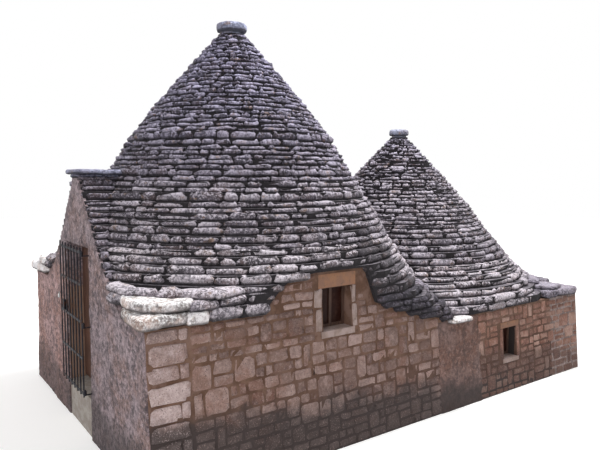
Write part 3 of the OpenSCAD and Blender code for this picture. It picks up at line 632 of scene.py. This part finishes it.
def dressed(name, pale, warm, dirt=0.35):
    """Sawn and rubbed limestone of lintels, jambs and sills: warm patches, dirt and small pits."""
    f = Finish(name)
    broad = f.noise(8.0, 0.62)
    pits = f.step(f.cells(70.0), 0.05, 0.22)
    colour = f.layers(pale, (warm, broad, 0.38, 0.62),
                      ((0.1, 0.072, 0.058), f.noise(20.0, 0.7), 0.56, 0.68, dirt))
    colour = f.mix((1 - pits) * 0.4, colour, (0.1, 0.07, 0.055))
    return f.finish(colour, 0.88, broad * 0.5 + f.noise(80.0, 0.6, 4.0) * 0.4 + pits * 0.3, 0.005, 0.7)


def old_wood(name, dark, pale, edge=9.0):
    """Weathered boards: long upright grain, cracks and worn patches. Past edge, to the right, they are the
    lighter ones of the frame."""
    f = Finish(name)
    grain = f.noise(2.4, 0.62, 6.0, f.stretched(26, 26, 1.6), 0.3)
    cracks = f.noise(9.0, 0.6, 4.0, f.stretched(26, 26, 1.6))
    colour = f.layers(
        dark, (pale, grain, 0.34, 0.66), (times(dark, 0.35), cracks, 0.58, 0.7, 0.6),
        (times(pale, 1.5), f.noise(3.0, 0.6, 4.0), 0.55, 0.72, 0.4),
        ((0.26, 0.105, 0.048), f.axis(0), edge, edge + 0.01, 0.8))
    return f.finish(colour, 0.68, grain * 0.8 + cracks * 0.5, 0.004, 0.7)


def old_iron(name, base, rust, share=0.5, rough=0.5):
    """Painted wrought iron with rust in patches."""
    f = Finish(name)
    patch = f.step(f.noise(11.0, 0.68, 6.0), 0.54, 0.64)
    colour = f.layers(f.mix(patch * share, base, rust),
                      ((0.16, 0.15, 0.155), f.noise(34.0, 0.6, 4.0), 0.6, 0.7, 0.3))
    grit = f.noise(120.0, 0.6, 4.0) * 0.5
    return f.finish(colour, patch * 0.3 + rough, grit + patch * 0.4, 0.0012, 0.6, Metallic=0.55)


def window_pane(name):
    """Old glass with a film of dust, painted nearly black as the shade of the dark room behind it."""
    f = Finish(name)
    dust = f.step(f.noise(14.0, 0.65), 0.42, 0.75)
    # Painted shade of the dark room behind the glass: near black
    colour = f.mix(dust * 0.6, (0.022, 0.006, 0.004), (0.06, 0.026, 0.018))
    return f.finish(colour, dust * 0.35 + 0.3, f.noise(3.0, detail=4.0), 0.002, 0.3, Specular_IOR_Level=0.15)


ROOF = roof_stone("weathered_roof_slab", (0.043, 0.037, 0.05), (0.114, 0.1, 0.13), (0.315, 0.284, 0.338))
ROOF_LOW = roof_stone("weathered_eave_slab", (0.072, 0.062, 0.074), (0.215, 0.19, 0.22), (0.5, 0.456, 0.5),
                      bleach_and_highlight=0.65)
# Paler copy of the roof stone, as painted haze over the far rear cone; the main cone's lower band uses it too
ROOF_REAR = roof_stone("weathered_rear_slab", (0.052, 0.044, 0.057), (0.145, 0.127, 0.156),
                       (0.39, 0.354, 0.402), bleach_and_highlight=0.55)
# Near white: partly the slabs' own pale stone, partly painted sunlight on them
PALE_SUNLIT_SLAB = roof_stone("pale_sunlit_corner_slab", (0.3, 0.27, 0.27), (0.84, 0.79, 0.81), (0.99, 0.96, 0.99),
                       lichen=0.4, bleach_and_highlight=0.6, pit=0.65)
PINNACLE = roof_stone("pinnacle_stone", (0.14, 0.145, 0.185), (0.29, 0.3, 0.36), (0.44, 0.45, 0.5),
                      lichen=0.6, bleach_and_highlight=0.2, pit=0.5)
DARK_SLAB = roof_stone("dark_gable_slab", (0.06, 0.062, 0.095), (0.13, 0.135, 0.21), (0.29, 0.29, 0.38),
                       bleach_and_highlight=0.25)
CORE_MAIN = core_stone("main_cone_core", 0.0)
CORE_REAR = core_stone("rear_cone_core", REAR_AXIS)
WALL = wall_stone("wall_limestone", (0.125, 0.074, 0.064), (0.24, 0.16, 0.14), (0.4, 0.285, 0.26))
WALL_RED = wall_stone("reddish_wall_limestone", (0.165, 0.08, 0.062), (0.3, 0.15, 0.112), (0.44, 0.29, 0.24),
                      damp=0.6, rise=0.4)
QUOIN = wall_stone("corner_limestone", (0.22, 0.155, 0.145), (0.41, 0.305, 0.29), (0.6, 0.48, 0.47),
                   stain=0.3, smear=0.3)
WALL_CORE = wall_core("earth_mortar")
DOOR_CORE = wall_core("doorway_mortar", (0.3, 0.19, 0.14), (0.2, 0.115, 0.08))
FRONT = plaster("front_plaster", (0.255, 0.2, 0.215), (0.24, 0.16, 0.15), (0.078, 0.062, 0.072),
                share=0.7, warm=0.9)
GREY = plaster("grey_plaster_patch", (0.175, 0.112, 0.1), (0.165, 0.088, 0.068), (0.075, 0.052, 0.05),
               share=0.45, damp=0.85, rise=0.0)
PARTY = plaster("party_plaster", (0.28, 0.22, 0.21), (0.24, 0.17, 0.15), (0.1, 0.085, 0.085), share=0.4)
WARM = dressed("warm_lintel_stone", (0.3, 0.15, 0.085), (0.24, 0.13, 0.088), dirt=0.55)
JAMB = dressed("pale_jamb_stone", (0.37, 0.285, 0.265), (0.27, 0.195, 0.17), dirt=0.5)
DOORSTONE = dressed("doorway_stone", (0.32, 0.25, 0.225), (0.27, 0.19, 0.155))
PAVING = dressed("worn_paving", (0.4, 0.36, 0.33), (0.3, 0.26, 0.23), dirt=0.5)
WOOD = old_wood("door_boards", (0.055, 0.022, 0.014), (0.125, 0.055, 0.034), edge=0.395)
SASH = old_wood("window_wood", (0.04, 0.018, 0.012), (0.09, 0.045, 0.03))
IRON = old_iron("gate_iron", (0.013, 0.013, 0.02), (0.11, 0.045, 0.022))
STEEL = old_iron("padlock_steel", (0.62, 0.62, 0.63), (0.25, 0.17, 0.12), share=0.25, rough=0.32)
GLASS = window_pane("dusty_glass")

# Each solid's finish is the one beside the first of these words that its name holds
WORDS = (("pinnacle", PINNACLE), ("valley", PALE_SUNLIT_SLAB), ("cap", PALE_SUNLIT_SLAB), ("gate", IRON), ("pintles", IRON),
         ("leaf", WOOD), ("floor", PAVING), ("thresholds", PAVING), ("front_wall", DOOR_CORE),
         ("shoulders", FRONT), ("peak", FRONT), ("door_lintel", FRONT), ("inner_lintel", DOORSTONE),
         ("lintels", WARM), ("sills", JAMB), ("arch", JAMB), ("frames", SASH), ("glass", GLASS),
         ("party", PARTY), ("wall", WALL_CORE), ("rear_co", CORE_REAR), ("", CORE_MAIN))
for name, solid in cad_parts.items():
    solid.data.materials.clear()
    solid.data.materials.append(next(finish for word, finish in WORDS if word in name))


# Roof slabs
def in_shade(place):
    """How much darker the slabs are painted as shade, partly moss, where they stand over the long walls
    behind
    the window: a share that grows over 0.25 m outwards, times one that grows over 0.3 m towards the rear."""
    x, y = np.abs(place[:, 0]), place[:, 1]
    return 1.15 * np.clip((x - 1.95) / 0.25, 0, 1) * np.clip((y - 0.45) / 0.3, 0, 1)


def main_course(pile, low, high, mean, reach=0.0, out=PROUD):
    """One course of the main cone: its edge at the radius for its height, without the parts that the gable,
    the valley, the raised heads of the walls and the broad corner slabs take up."""
    height = (low + high) / 2 - FRONT_TOP
    gate = np.interp(height, *GABLE_LINE) if 0 <= height < GABLE_TOP - FRONT_TOP else 0.0
    points, keep = around(np.interp(height, *MAIN_LINE), -FRONT_Y + EAVE, VALLEY_Y, gate, reach,
                          lambda y: y < -HALF_W / 2)
    x, y = points.T
    head = np.interp(y, *WALL_HEAD)
    keep &= ~(y > VALLEY_Y - 0.01)
    keep &= ~((np.abs(x) > HALF_W - WALL_HEAD_T) & (head > low + 0.7 * (high - low)))
    if height < 0:
        keep &= (y > FALL_Y - 0.05) & (low + 0.8 * (high - low) > head)
    if height < CORNER_SLABS_H:
        keep &= ~((np.abs(x) > CORNER_SLABS_X) & (y < CORNER_SLABS_Y[0 if height < CORNER_LAYER_H else 1]))
    pile.add_kept(points, keep, low, high, mean, out=out, shade=in_shade)


def rear_course(pile, low, high, mean, reach=0.0):
    """One course of the rear cone, cut off at the valley and at the end wall, and at the broad corner
    slabs."""
    radius = np.interp((low + high) / 2 - REAR_TOP, *REAR_LINE)
    points, keep = around(radius, REAR_AXIS - VALLEY_Y, PARTY_Y - REAR_AXIS, 0.0, reach,
                          lambda y: y > 0.42 * HALF_W)
    points = points + [0, REAR_AXIS]
    x, y = points.T
    keep &= ~(y < VALLEY_Y + 0.01)
    if reach:
        keep &= ~((np.hypot(x, y - REAR_AXIS) > REAR_SLABS_R) & (y > REAR_SLABS_Y))
    pile.add_kept(points, keep, low, high, mean, out=PROUD)


def cone(label, course, foot, courses, bands, reaches, seed):
    """Lays a cone's courses from its foot upwards in bands, each band one piece: its name, the course it
    ends under, the slabs' mean length and their finish. The lowest courses reach out into the corners. Gives
    the levels between the courses."""
    level = foot + sums(courses)
    first = 0
    for number, (part, last, mean, finish) in enumerate(bands):
        pile = Courses(f"{label}_roof_{part}_stones", seed + number)
        for k in range(first, last):
            course(pile, level[k], level[k + 1], mean, reaches[k] if k < len(reaches) else 0.0)
        pile.build(finish)
        first = last
    return level


main_z = cone("main", main_course, FRONT_TOP, MAIN_COURSES,
              (("base", 7, 0.4, ROOF_LOW), ("lower", 17, 0.32, ROOF_REAR), ("middle", 29, 0.27, ROOF),
               ("upper", 43, 0.22, ROOF), ("crown", 51, 0.17, ROOF)), (3.38, 3.09, 2.87), 100)

pile = Courses("main_roof_skirt_stones", 120)
skirt_z = FRONT_TOP - SKIRT_COURSES.sum() + sums(SKIRT_COURSES)
for low, high in zip(skirt_z, skirt_z[1:]):
    main_course(pile, low, high, 0.34, out=0.045)
pile.build(ROOF)

cone("rear", rear_course, REAR_TOP, REAR_COURSES,
     (("base", 7, 0.38, ROOF_LOW), ("lower", 17, 0.3, ROOF_REAR), ("upper", 31, 0.23, ROOF_REAR),
      ("crown", 39, 0.16, ROOF_REAR)), (3.15, 2.9), 140)

# Slab courses beside the gable wall, from its face back to the cone
pile = Courses("gable_roof_stones", 160)
for low, high in zip(main_z[2:GABLE_COURSES], main_z[3:]):
    height = (low + high) / 2 - FRONT_TOP
    half = float(np.interp(height, *GABLE_LINE))
    radius = float(np.interp(height, *MAIN_LINE))
    front = FRONT_Y - 0.004
    back = -math.sqrt(max(radius ** 2 - half ** 2, 0.01)) + 0.05
    if back - front < 0.12:
        back = front + 0.22
    line = np.linspace(front, back, 40)
    for side in (1, -1):
        path = joined(half * side, line[::side])
        pile.add(path, low, high, 0.34, depth=min(0.24, half + 0.02), out=0.022, tilt=0.02)
pile.build(ROOF)


# Walls of squared stones
def wall_x(z):
    """How far out the face of a long wall lies at a height."""
    return HALF_W + BATTER * (1 - np.minimum(z, FRONT_TOP) / FRONT_TOP)


def beside_windows(low, high):
    """Stretches of a wall between two levels that its windows and their jamb stones take up."""
    return [(y - w / 2 - 0.13, y + w / 2 + 0.1) for y, w, sill, h, lintel, under in WINDOWS
            if high > sill - under + 0.02 and low < sill + h + lintel - 0.02]


def wall_rows(y0, y1, steps, mean, rng, spread=0.5, joint=0.01, blocks=0.16):
    """Stones of a stretch of wall, row by row, round the windows and under the wall's head: each one's
    middle along the wall, middle height, length and height. Some are blocks as high as two rows."""
    found, taken = [], []
    z = 0.0
    for step, after in zip(steps, np.append(steps[1:], 0)):
        start, free = y0, []
        for a, b in sorted(beside_windows(z, z + step) + taken):
            if b > y0 and a < y1:
                free.append((start, max(start, a)))
                start = max(start, b)
        free.append((start, y1))
        taken = []
        for a, b in free:
            if b - a < SHORTEST_STONE:
                continue
            count = max(1, int(round((b - a) / mean)))
            ends = sums(rng.uniform(1 - spread, 1 + spread, count))
            ends = a + (b - a) * ends / ends[-1]
            near, away = ends[:-1], ends[1:]
            tall = (rng.random(count) < blocks) & (after > 0)
            for c, d in beside_windows(z + step, z + step + after):
                tall &= (away < c) | (near > d)
            taken += list(zip(near[tall], away[tall]))
            head = np.minimum(np.interp(away, *WALL_HEAD), np.interp(near, *WALL_HEAD)) - 0.004
            top = np.minimum(z + step + after * tall, head)
            fits = top - z > LOWEST_STONE
            found.append(joined((near + away) / 2, (z + top) / 2, away - near - joint, top - z - joint)[fits])
        z += step
    return np.concatenate(found)


def wall_stones(name, rows, side, finish, seed, stand=0.006, square=0.3):
    """Squared stones bedded in the mortar of the right wall (side 1) or the left one (side -1), square to its
    leaning face and out of it by a little that differs from stone to stone."""
    rng = np.random.default_rng(seed)
    y, z, length, height = rows.T
    n = len(y)
    proud = stand + rng.uniform(-0.004, 0.005, n)
    deep = np.full(n, 0.05)
    middle = joined(side * (wall_x(z) + proud - deep / 2), y, z)
    lean = BATTER / FRONT_TOP * (z < FRONT_TOP)
    out = unit(joined(side, 0.0, lean))
    first = np.broadcast_to([0.0, float(side), 0.0], (n, 3))
    second = np.cross(out, first)
    stones(name, middle, first, second, out, joined(length, height, deep), FACE_RINGS, finish,
           seed + 1, worn=0.0028, wobble=0.06, square=square)


row_rng = np.random.default_rng(7)


def row_heights(mean):
    """Random heights for more rows than the highest wall takes."""
    return row_rng.uniform(0.7, 1.3, int(2.6 / mean)) * mean


# Corner stones, long ones in turn with short ones that another stone lies beside
QUOINS_TOP = FRONT_TOP - 0.01
QUOIN_LENGTHS = (0.34, 0.46)
UPRIGHT_JOINT, LEVEL_JOINT = 0.016, 0.018
for side, label in SIDES:
    quoins, z = [], 0.0
    for k in range(9):
        h = min(row_rng.uniform(0.18, 0.225), QUOINS_TOP - z)
        if h < 0.07:
            break
        long = QUOIN_LENGTHS[k % 2]
        quoins.append((FRONT_Y + 0.004 + long / 2, z + h / 2, long - UPRIGHT_JOINT, h - LEVEL_JOINT))
        if k % 2 == 0:
            quoins.append((FRONT_Y + 0.4, z + h / 2, 0.105, h - LEVEL_JOINT))
        z += h
    wall_stones(f"{label}_corner_stones", np.array(quoins), side, QUOIN, 200 + side,
                stand=0.014)
    # Each stretch: from where to where, a row's and a stone's mean size
    for part, y0, y1, tall, long, finish, seed in (("wall", -1.83, 1.95, 0.12, 0.195, WALL, 210),
                                                   ("rear_wall", 2.8, 4.2, 0.105, 0.17, WALL_RED, 220),
                                                   ("end_wall", 4.2, 5.495, 0.098, 0.21, WALL_RED, 230)):
        rows = wall_rows(y0, y1, row_heights(tall), long, row_rng)
        wall_stones(f"{label}_{part}_stones", rows, side, finish, seed + side)

# Stones beside each window: shares of its height that lie below and beside them, widths before and behind it
JAMBS = (("front", JAMB, ((0.0, 0.54, 0.105, 0.085), (0.55, 0.45, 0.125, 0.07))),
         ("rear", WALL_RED, ((0.0, 1.0, 0.085, 0.075),)))
for side, label in SIDES:
    for (middle, width, sill, height, _, _), (place, finish, parts) in zip(WINDOWS, JAMBS):
        rows = []
        for below, part, near, away in parts:
            tall = height * part
            z = sill + below * height + tall / 2
            rows += [(middle - width / 2 - near / 2 - 0.002, z, near, tall - 0.008),
                     (middle + width / 2 + away / 2 + 0.002, z, away, tall - 0.008)]
        wall_stones(f"{label}_{place}_window_jamb_stones", np.array(rows), side, finish,
                    240 + side, stand=0.01, square=0.16)


# Plaster, broad slabs, door and gate
def front_edge(z):
    """How far out the front of the house reaches at a height: the wall, then the gable with its slab ends."""
    return np.where(z < FRONT_TOP, wall_x(z), np.interp(z - FRONT_TOP, *GABLE_LINE))


def between(near, far, low, high, rows, cols):
    """A grid between two edges, each a function of height: places across, and heights, rows upwards."""
    z = np.linspace(low, high, rows)[:, None]
    share = np.linspace(0, 1, cols)
    across = near(z) * (1 - share) + far(z) * share
    return across, z + 0 * across


def front_coat(name, left, right, low, high, rows, cols):
    """Plaster on the front between two edges, about 20 mm thick and waved a little."""
    x, z = between(left, right, low, high, rows, cols)
    out = 0.02 + 0.007 * uneven(x, z, 31, 0.42, 5) + 0.004 * uneven(x, z, 32, 0.06, 2)
    coat(name, joined(x, FRONT_Y - out, z), joined(x, FRONT_Y + 0.03, z), FRONT)


def ragged(z, seed, amount):
    """Smooth random shifts of an upright edge, by height."""
    return amount * uneven(z * 0 + 3.0, z, seed, 0.1, 3)


def jamb_edge(z):
    """The upright edge beside the doorway."""
    return z * 0 + DOOR_HALF + 0.004


def right_edge(z):
    """The right edge of the front, drawn in a little and ragged."""
    return front_edge(z) - 0.012 + ragged(z, 41, 0.012)


def left_edge(z):
    """The left edge, drawn in further beside the gable."""
    return -front_edge(z) + np.where(z < FRONT_TOP, 0.012, 0.09) + ragged(z, 42, 0.014)


front_coat("front_plaster_right", jamb_edge, right_edge, 0.0, DOOR_HEAD, 150, 70)
front_coat("front_plaster_left", left_edge, lambda z: -jamb_edge(z), 0.0, DOOR_HEAD, 150, 70)
front_coat("front_plaster_gable", left_edge, right_edge, DOOR_HEAD, GABLE_TOP - 0.02, 56, 90)


# Plaster patch on each long wall, with ragged ends. It thins out by an exponential of the distance to its
# edge.
PATCH_TOP = REAR_TOP - 0.01
for side, label in SIDES:
    y, z = between(lambda z: 1.92 + ragged(z, 60, 0.05), lambda z: 2.84 + ragged(z, 61, 0.05),
                   0.0, PATCH_TOP, 70, 60)
    out = 0.012 + 0.006 * uneven(y, z, 62, 0.4, 5) + 0.003 * uneven(y, z, 63, 0.05, 2)
    edge = np.minimum(np.minimum(y - y.min(1, keepdims=True), y.max(1, keepdims=True) - y), PATCH_TOP - z)
    out = out - 0.018 * np.exp(-edge / 0.02)
    front, back = (joined(side * (wall_x(z) + far), y, z)[:, ::side] for far in (out, -0.03))
    coat(f"{label}_plaster_patch", front, back, GREY)


def both_sides(shapes):
    """Outlines in plan with their heights, and the same mirrored, with the points in reverse order."""
    return shapes + [([(-x, y) for x, y in corners[::-1]], low, high) for corners, low, high in shapes]


# Slabs at the corners, on the gable and at the ends of the valley: outline from above, foot, head
piece = plates("front_corner_slabs", both_sides([
    ([(1.76, -2.36), (2.06, -2.39), (2.33, -2.405), (2.46, -2.41), (2.455, -2.24), (2.42, -2.02),
      (2.425, -1.86), (2.18, -1.66), (1.88, -1.92), (1.7, -2.14)], 1.82, 1.945),
    ([(1.68, -2.345), (1.98, -2.365), (2.2, -2.3), (2.37, -2.1), (2.43, -1.86), (2.18, -1.64), (1.82, -1.95),
      (1.62, -2.18)], 1.948, 2.056),
    ([(2.24, -1.9), (2.435, -1.86), (2.445, -1.64), (2.24, -1.6), (2.12, -1.74)], 1.8, 1.935)]),
    PALE_SUNLIT_SLAB, 300, rough=0.011)
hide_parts("corner_slabs")

piece = plates("rear_corner_slabs_rough", both_sides([
    ([(1.72, 5.02), (2.05, 4.88), (2.43, 4.96), (2.455, 5.25), (2.45, 5.5), (2.1, 5.505), (1.7, 5.5)],
     1.305, 1.425),
    ([(1.95, 4.6), (2.43, 4.58), (2.44, 4.93), (2.1, 4.9)], 1.305, 1.42),
    ([(1.1, 5.3), (1.66, 5.06), (1.7, 5.5), (1.08, 5.505)], 1.305, 1.42),
    ([(1.3, 5.42), (1.42, 5.14), (1.72, 5.0), (2.02, 5.14), (1.98, 5.4), (1.62, 5.48)], 1.42, 1.5),
    ([(1.74, 4.98), (1.92, 4.72), (2.26, 4.64), (2.38, 4.86), (2.34, 5.16), (2.06, 5.12)], 1.415, 1.495),
    ([(1.5, 5.16), (1.74, 4.86), (1.98, 4.62), (2.18, 4.7), (2.02, 4.98), (1.72, 5.24)], 1.49, 1.56)]),
    ROOF, 305)
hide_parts("rear_corner_slabs")

piece = plates("gable_cap_slabs", [
    ([(-0.24, -2.37), (0.05, -2.39), (0.25, -2.36), (0.27, -1.95), (0.24, -1.52), (-0.02, -1.46),
      (-0.25, -1.52), (-0.26, -2.0)], 3.345, 3.408),
    ([(-0.17, -2.33), (0.16, -2.335), (0.17, -2.0), (0.17, -1.6), (-0.16, -1.6), (-0.18, -2.0)],
     3.305, 3.35)],
    DARK_SLAB, 310)
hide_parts("gable_cap")

piece = plates("valley_tip_slabs", both_sides([
    ([(2.36, 2.14), (2.47, 2.13), (2.515, 2.22), (2.52, 2.38), (2.515, 2.56), (2.5, 2.6), (2.3, 2.62),
      (2.05, 2.62), (2.05, 2.36)], 1.242, 1.302)]), PALE_SUNLIT_SLAB, 315, rough=0.007)
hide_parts("valley_slabs")

# Pinnacles: a neck and a rounded disc
DISC = np.array([[0.0, 0.3], [0.0, 0.66], [0.01, 0.73], [0.14, 0.74], [0.26, 0.74], [0.3, 0.86],
                 [0.34, 0.965], [0.46, 0.995], [0.62, 1.0], [0.78, 0.985], [0.9, 0.93], [0.985, 0.8],
                 [1.0, 0.6], [1.01, 0.3]])
ring = np.linspace(0, 2 * np.pi, 40, endpoint=False)
for name, node, y, z, r, h in (("main_pinnacle_stone", "main_pinnacle", 0.0, 5.398, 0.227, 0.179),
                               ("rear_pinnacle_stone", "rear_pinnacle", REAR_AXIS, 4.032, 0.18, 0.152)):
    piece = plates(name, [(joined(r * np.cos(ring), y + r * np.sin(ring)), z - 0.004, z + h)], PINNACLE,
                   320, rough=0.006, profile=DISC, n=72)
    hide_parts(node)

# Boards and ledges of the door: the boards' edges, and how far each one's face stands back. They end a little
# below the lintel.
DOOR_LOW, DOOR_TOP, DOOR_FACE, BOARD_T = 0.52, DOOR_HEAD - 0.006, -2.095, 0.04
board_edges = np.array([-0.6, -0.445, -0.27, -0.11, 0.055, 0.225, 0.4, 0.6])
board_backs = (0, 0.002, 0.001, 0.003, 0, 0.002, 0.001)
low = [(a + 0.0015, DOOR_FACE + back, DOOR_LOW) for a, back in zip(board_edges[:-1], board_backs)]
high = [(b - 0.0015, DOOR_FACE + BOARD_T, DOOR_TOP) for b in board_edges[1:]]
for z in (0.7, 1.48, 2.12):
    low.append((-0.51, DOOR_FACE + BOARD_T - 0.002, z))
    high.append((0.56, DOOR_FACE + BOARD_T + 0.028, z + 0.12))
piece = boxes("door_boards", low, high, 0.004, WOOD, "door")
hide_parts("door_leaf")


def tube(name, path, radius, finish, body, n=10):
    """A round bar along a path of points: circles of n points across it, closed at both ends."""
    path = np.array(path, float)
    ahead = unit(np.gradient(path, axis=0))
    side = unit(np.cross(ahead, np.broadcast_to([0.0, 1.0, 0.0], ahead.shape)))
    up = np.cross(side, ahead)
    turn = np.arange(n) * 2 * np.pi / n
    circle = np.cos(turn)[:, None] * side[:, None] + np.sin(turn)[:, None] * up[:, None]
    new_piece(name, path[:, None] + radius * circle, ring_faces(len(path), n)[:, ::-1], finish, body)


# Straps and eyes of the door's hinges
PIN_X, PIN_Y = -0.585, -2.025
for label, z in (("lower", 0.77), ("upper", 2.19)):
    tube(f"{label}_door_eye", [(PIN_X, PIN_Y, z + h) for h in (0, 0.002, 0.048, 0.05)], 0.017, IRON,
         "door", n=20)
    boxes(f"{label}_door_strap", [(PIN_X + 0.01, PIN_Y - 0.004, z + 0.005)],
          [(-0.08, PIN_Y + 0.003, z + 0.042)], 0.0015, IRON, "door")

# Padlock that hangs from a ring on the gate's free edge
LOCK = np.array([-0.485, -2.432, 1.72])
turn = np.linspace(0, np.pi, 13)
arc = LOCK + joined(0.014 * np.cos(turn), 0, 0.016 + 0.014 * np.sin(turn))
legs = LOCK + [[0.014, 0, -0.01], [-0.014, 0, -0.01]]
tube("padlock_shackle", np.concatenate([legs[:1], arc, legs[1:]]), 0.0035, STEEL, "gate")
boxes("padlock_body", [LOCK - [0.024, 0.011, 0.048]], [LOCK + [0.024, 0.011, 0]], 0.004, STEEL,
      "gate")
boxes("padlock_ring", [LOCK + [-0.003, -0.015, 0.02]], [LOCK + [0.003, 0.029, 0.029]], 0.0008, IRON,
      "gate")


# Camera, lights, floor
# Solved from the photograph: the eye, its heading from +X towards +Y, slope and roll, and the lens in
# millimetres
EYE, HEADING, SLOPE, ROLL, LENS = (7.873, -4.378, 3.35), 180 - 35.614, -4.878, 0.198, 35.336
camera = placed("camera", bpy.data.cameras.new("camera"))
camera.data.sensor_width = 36.0
camera.data.lens = LENS
camera.data.clip_end = 200
yaw, pitch, roll = map(math.radians, (HEADING, SLOPE, ROLL))
ahead = Vector((math.cos(yaw) * math.cos(pitch), math.sin(yaw) * math.cos(pitch), math.sin(pitch)))
right = ahead.cross(Vector((0, 0, 1))).normalized()
up = right.cross(ahead)
right, up = right * math.cos(roll) + up * math.sin(roll), up * math.cos(roll) - right * math.sin(roll)
camera.matrix_world = Matrix.Translation(EYE) @ Matrix((right, up, -ahead)).transposed().to_4x4()
bpy.context.scene.camera = camera

for name, place, aim, size, power in (
        ("high_lamp", (1.5, 4.0, 13.0), (0.0, 1.2, 1.5), 4.0, 1950.0),
        ("front_lamp", (9.0, -11.0, 7.0), (0.0, 0.0, 2.0), 7.0, 700.0),
        ("left_lamp", (-11.0, -4.0, 8.0), (0.0, 1.0, 2.0), 7.0, 450.0)):
    lamp = placed(name, bpy.data.lights.new(name, "AREA"))
    lamp.data.size = size
    lamp.data.energy = power
    lamp.location = place
    lamp.rotation_euler = (Vector(aim) - Vector(place)).to_track_quat("-Z", "Y").to_euler()

# White where the camera, a gloss or glass sees it, and weaker as light
world = bpy.data.worlds.new("plain_sky")
bpy.context.scene.world = world
sky = Finish("plain_sky", world)
seen, glossy, through = (sky.node("LightPath", out=f"Is {ray} Ray")
                         for ray in ("Camera", "Glossy", "Transmission"))
for other in (glossy, through):
    seen = sky.node("Math", {"operation": "MAXIMUM"}, {0: seen, 1: other})
strength = sky.node("MapRange", {}, {"Value": seen, "To Min": 0.45, "To Max": 1.0})
background = sky.node("Background", {}, {"Color": (1, 1, 1), "Strength": strength})
sky.node("OutputWorld", {}, {"Surface": background})

mesh = bpy.data.meshes.new("floor")
mesh.from_pydata([(-40, -40, 0), (40, -40, 0), (40, 40, 0), (-40, 40, 0)], [], [(0, 1, 2, 3)])
floor = placed("floor", mesh)
f = Finish("pale_floor")
glow = f.layers((0.36, 0.36, 0.36), ((0.66, 0.66, 0.66), f.vector("LENGTH", f.place, out="Value"), 6.0, 15.0))
glow = f.mix(f.node("LightPath", out="Is Camera Ray"), (0.0, 0.0, 0.0), glow)
mesh.materials.append(f.finish((0.8, 0.79, 0.78), 0.9, Emission_Color=glow, Emission_Strength=1.0))
floor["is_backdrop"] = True

bpy.context.scene.view_settings.view_transform = "Standard"

low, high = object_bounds()
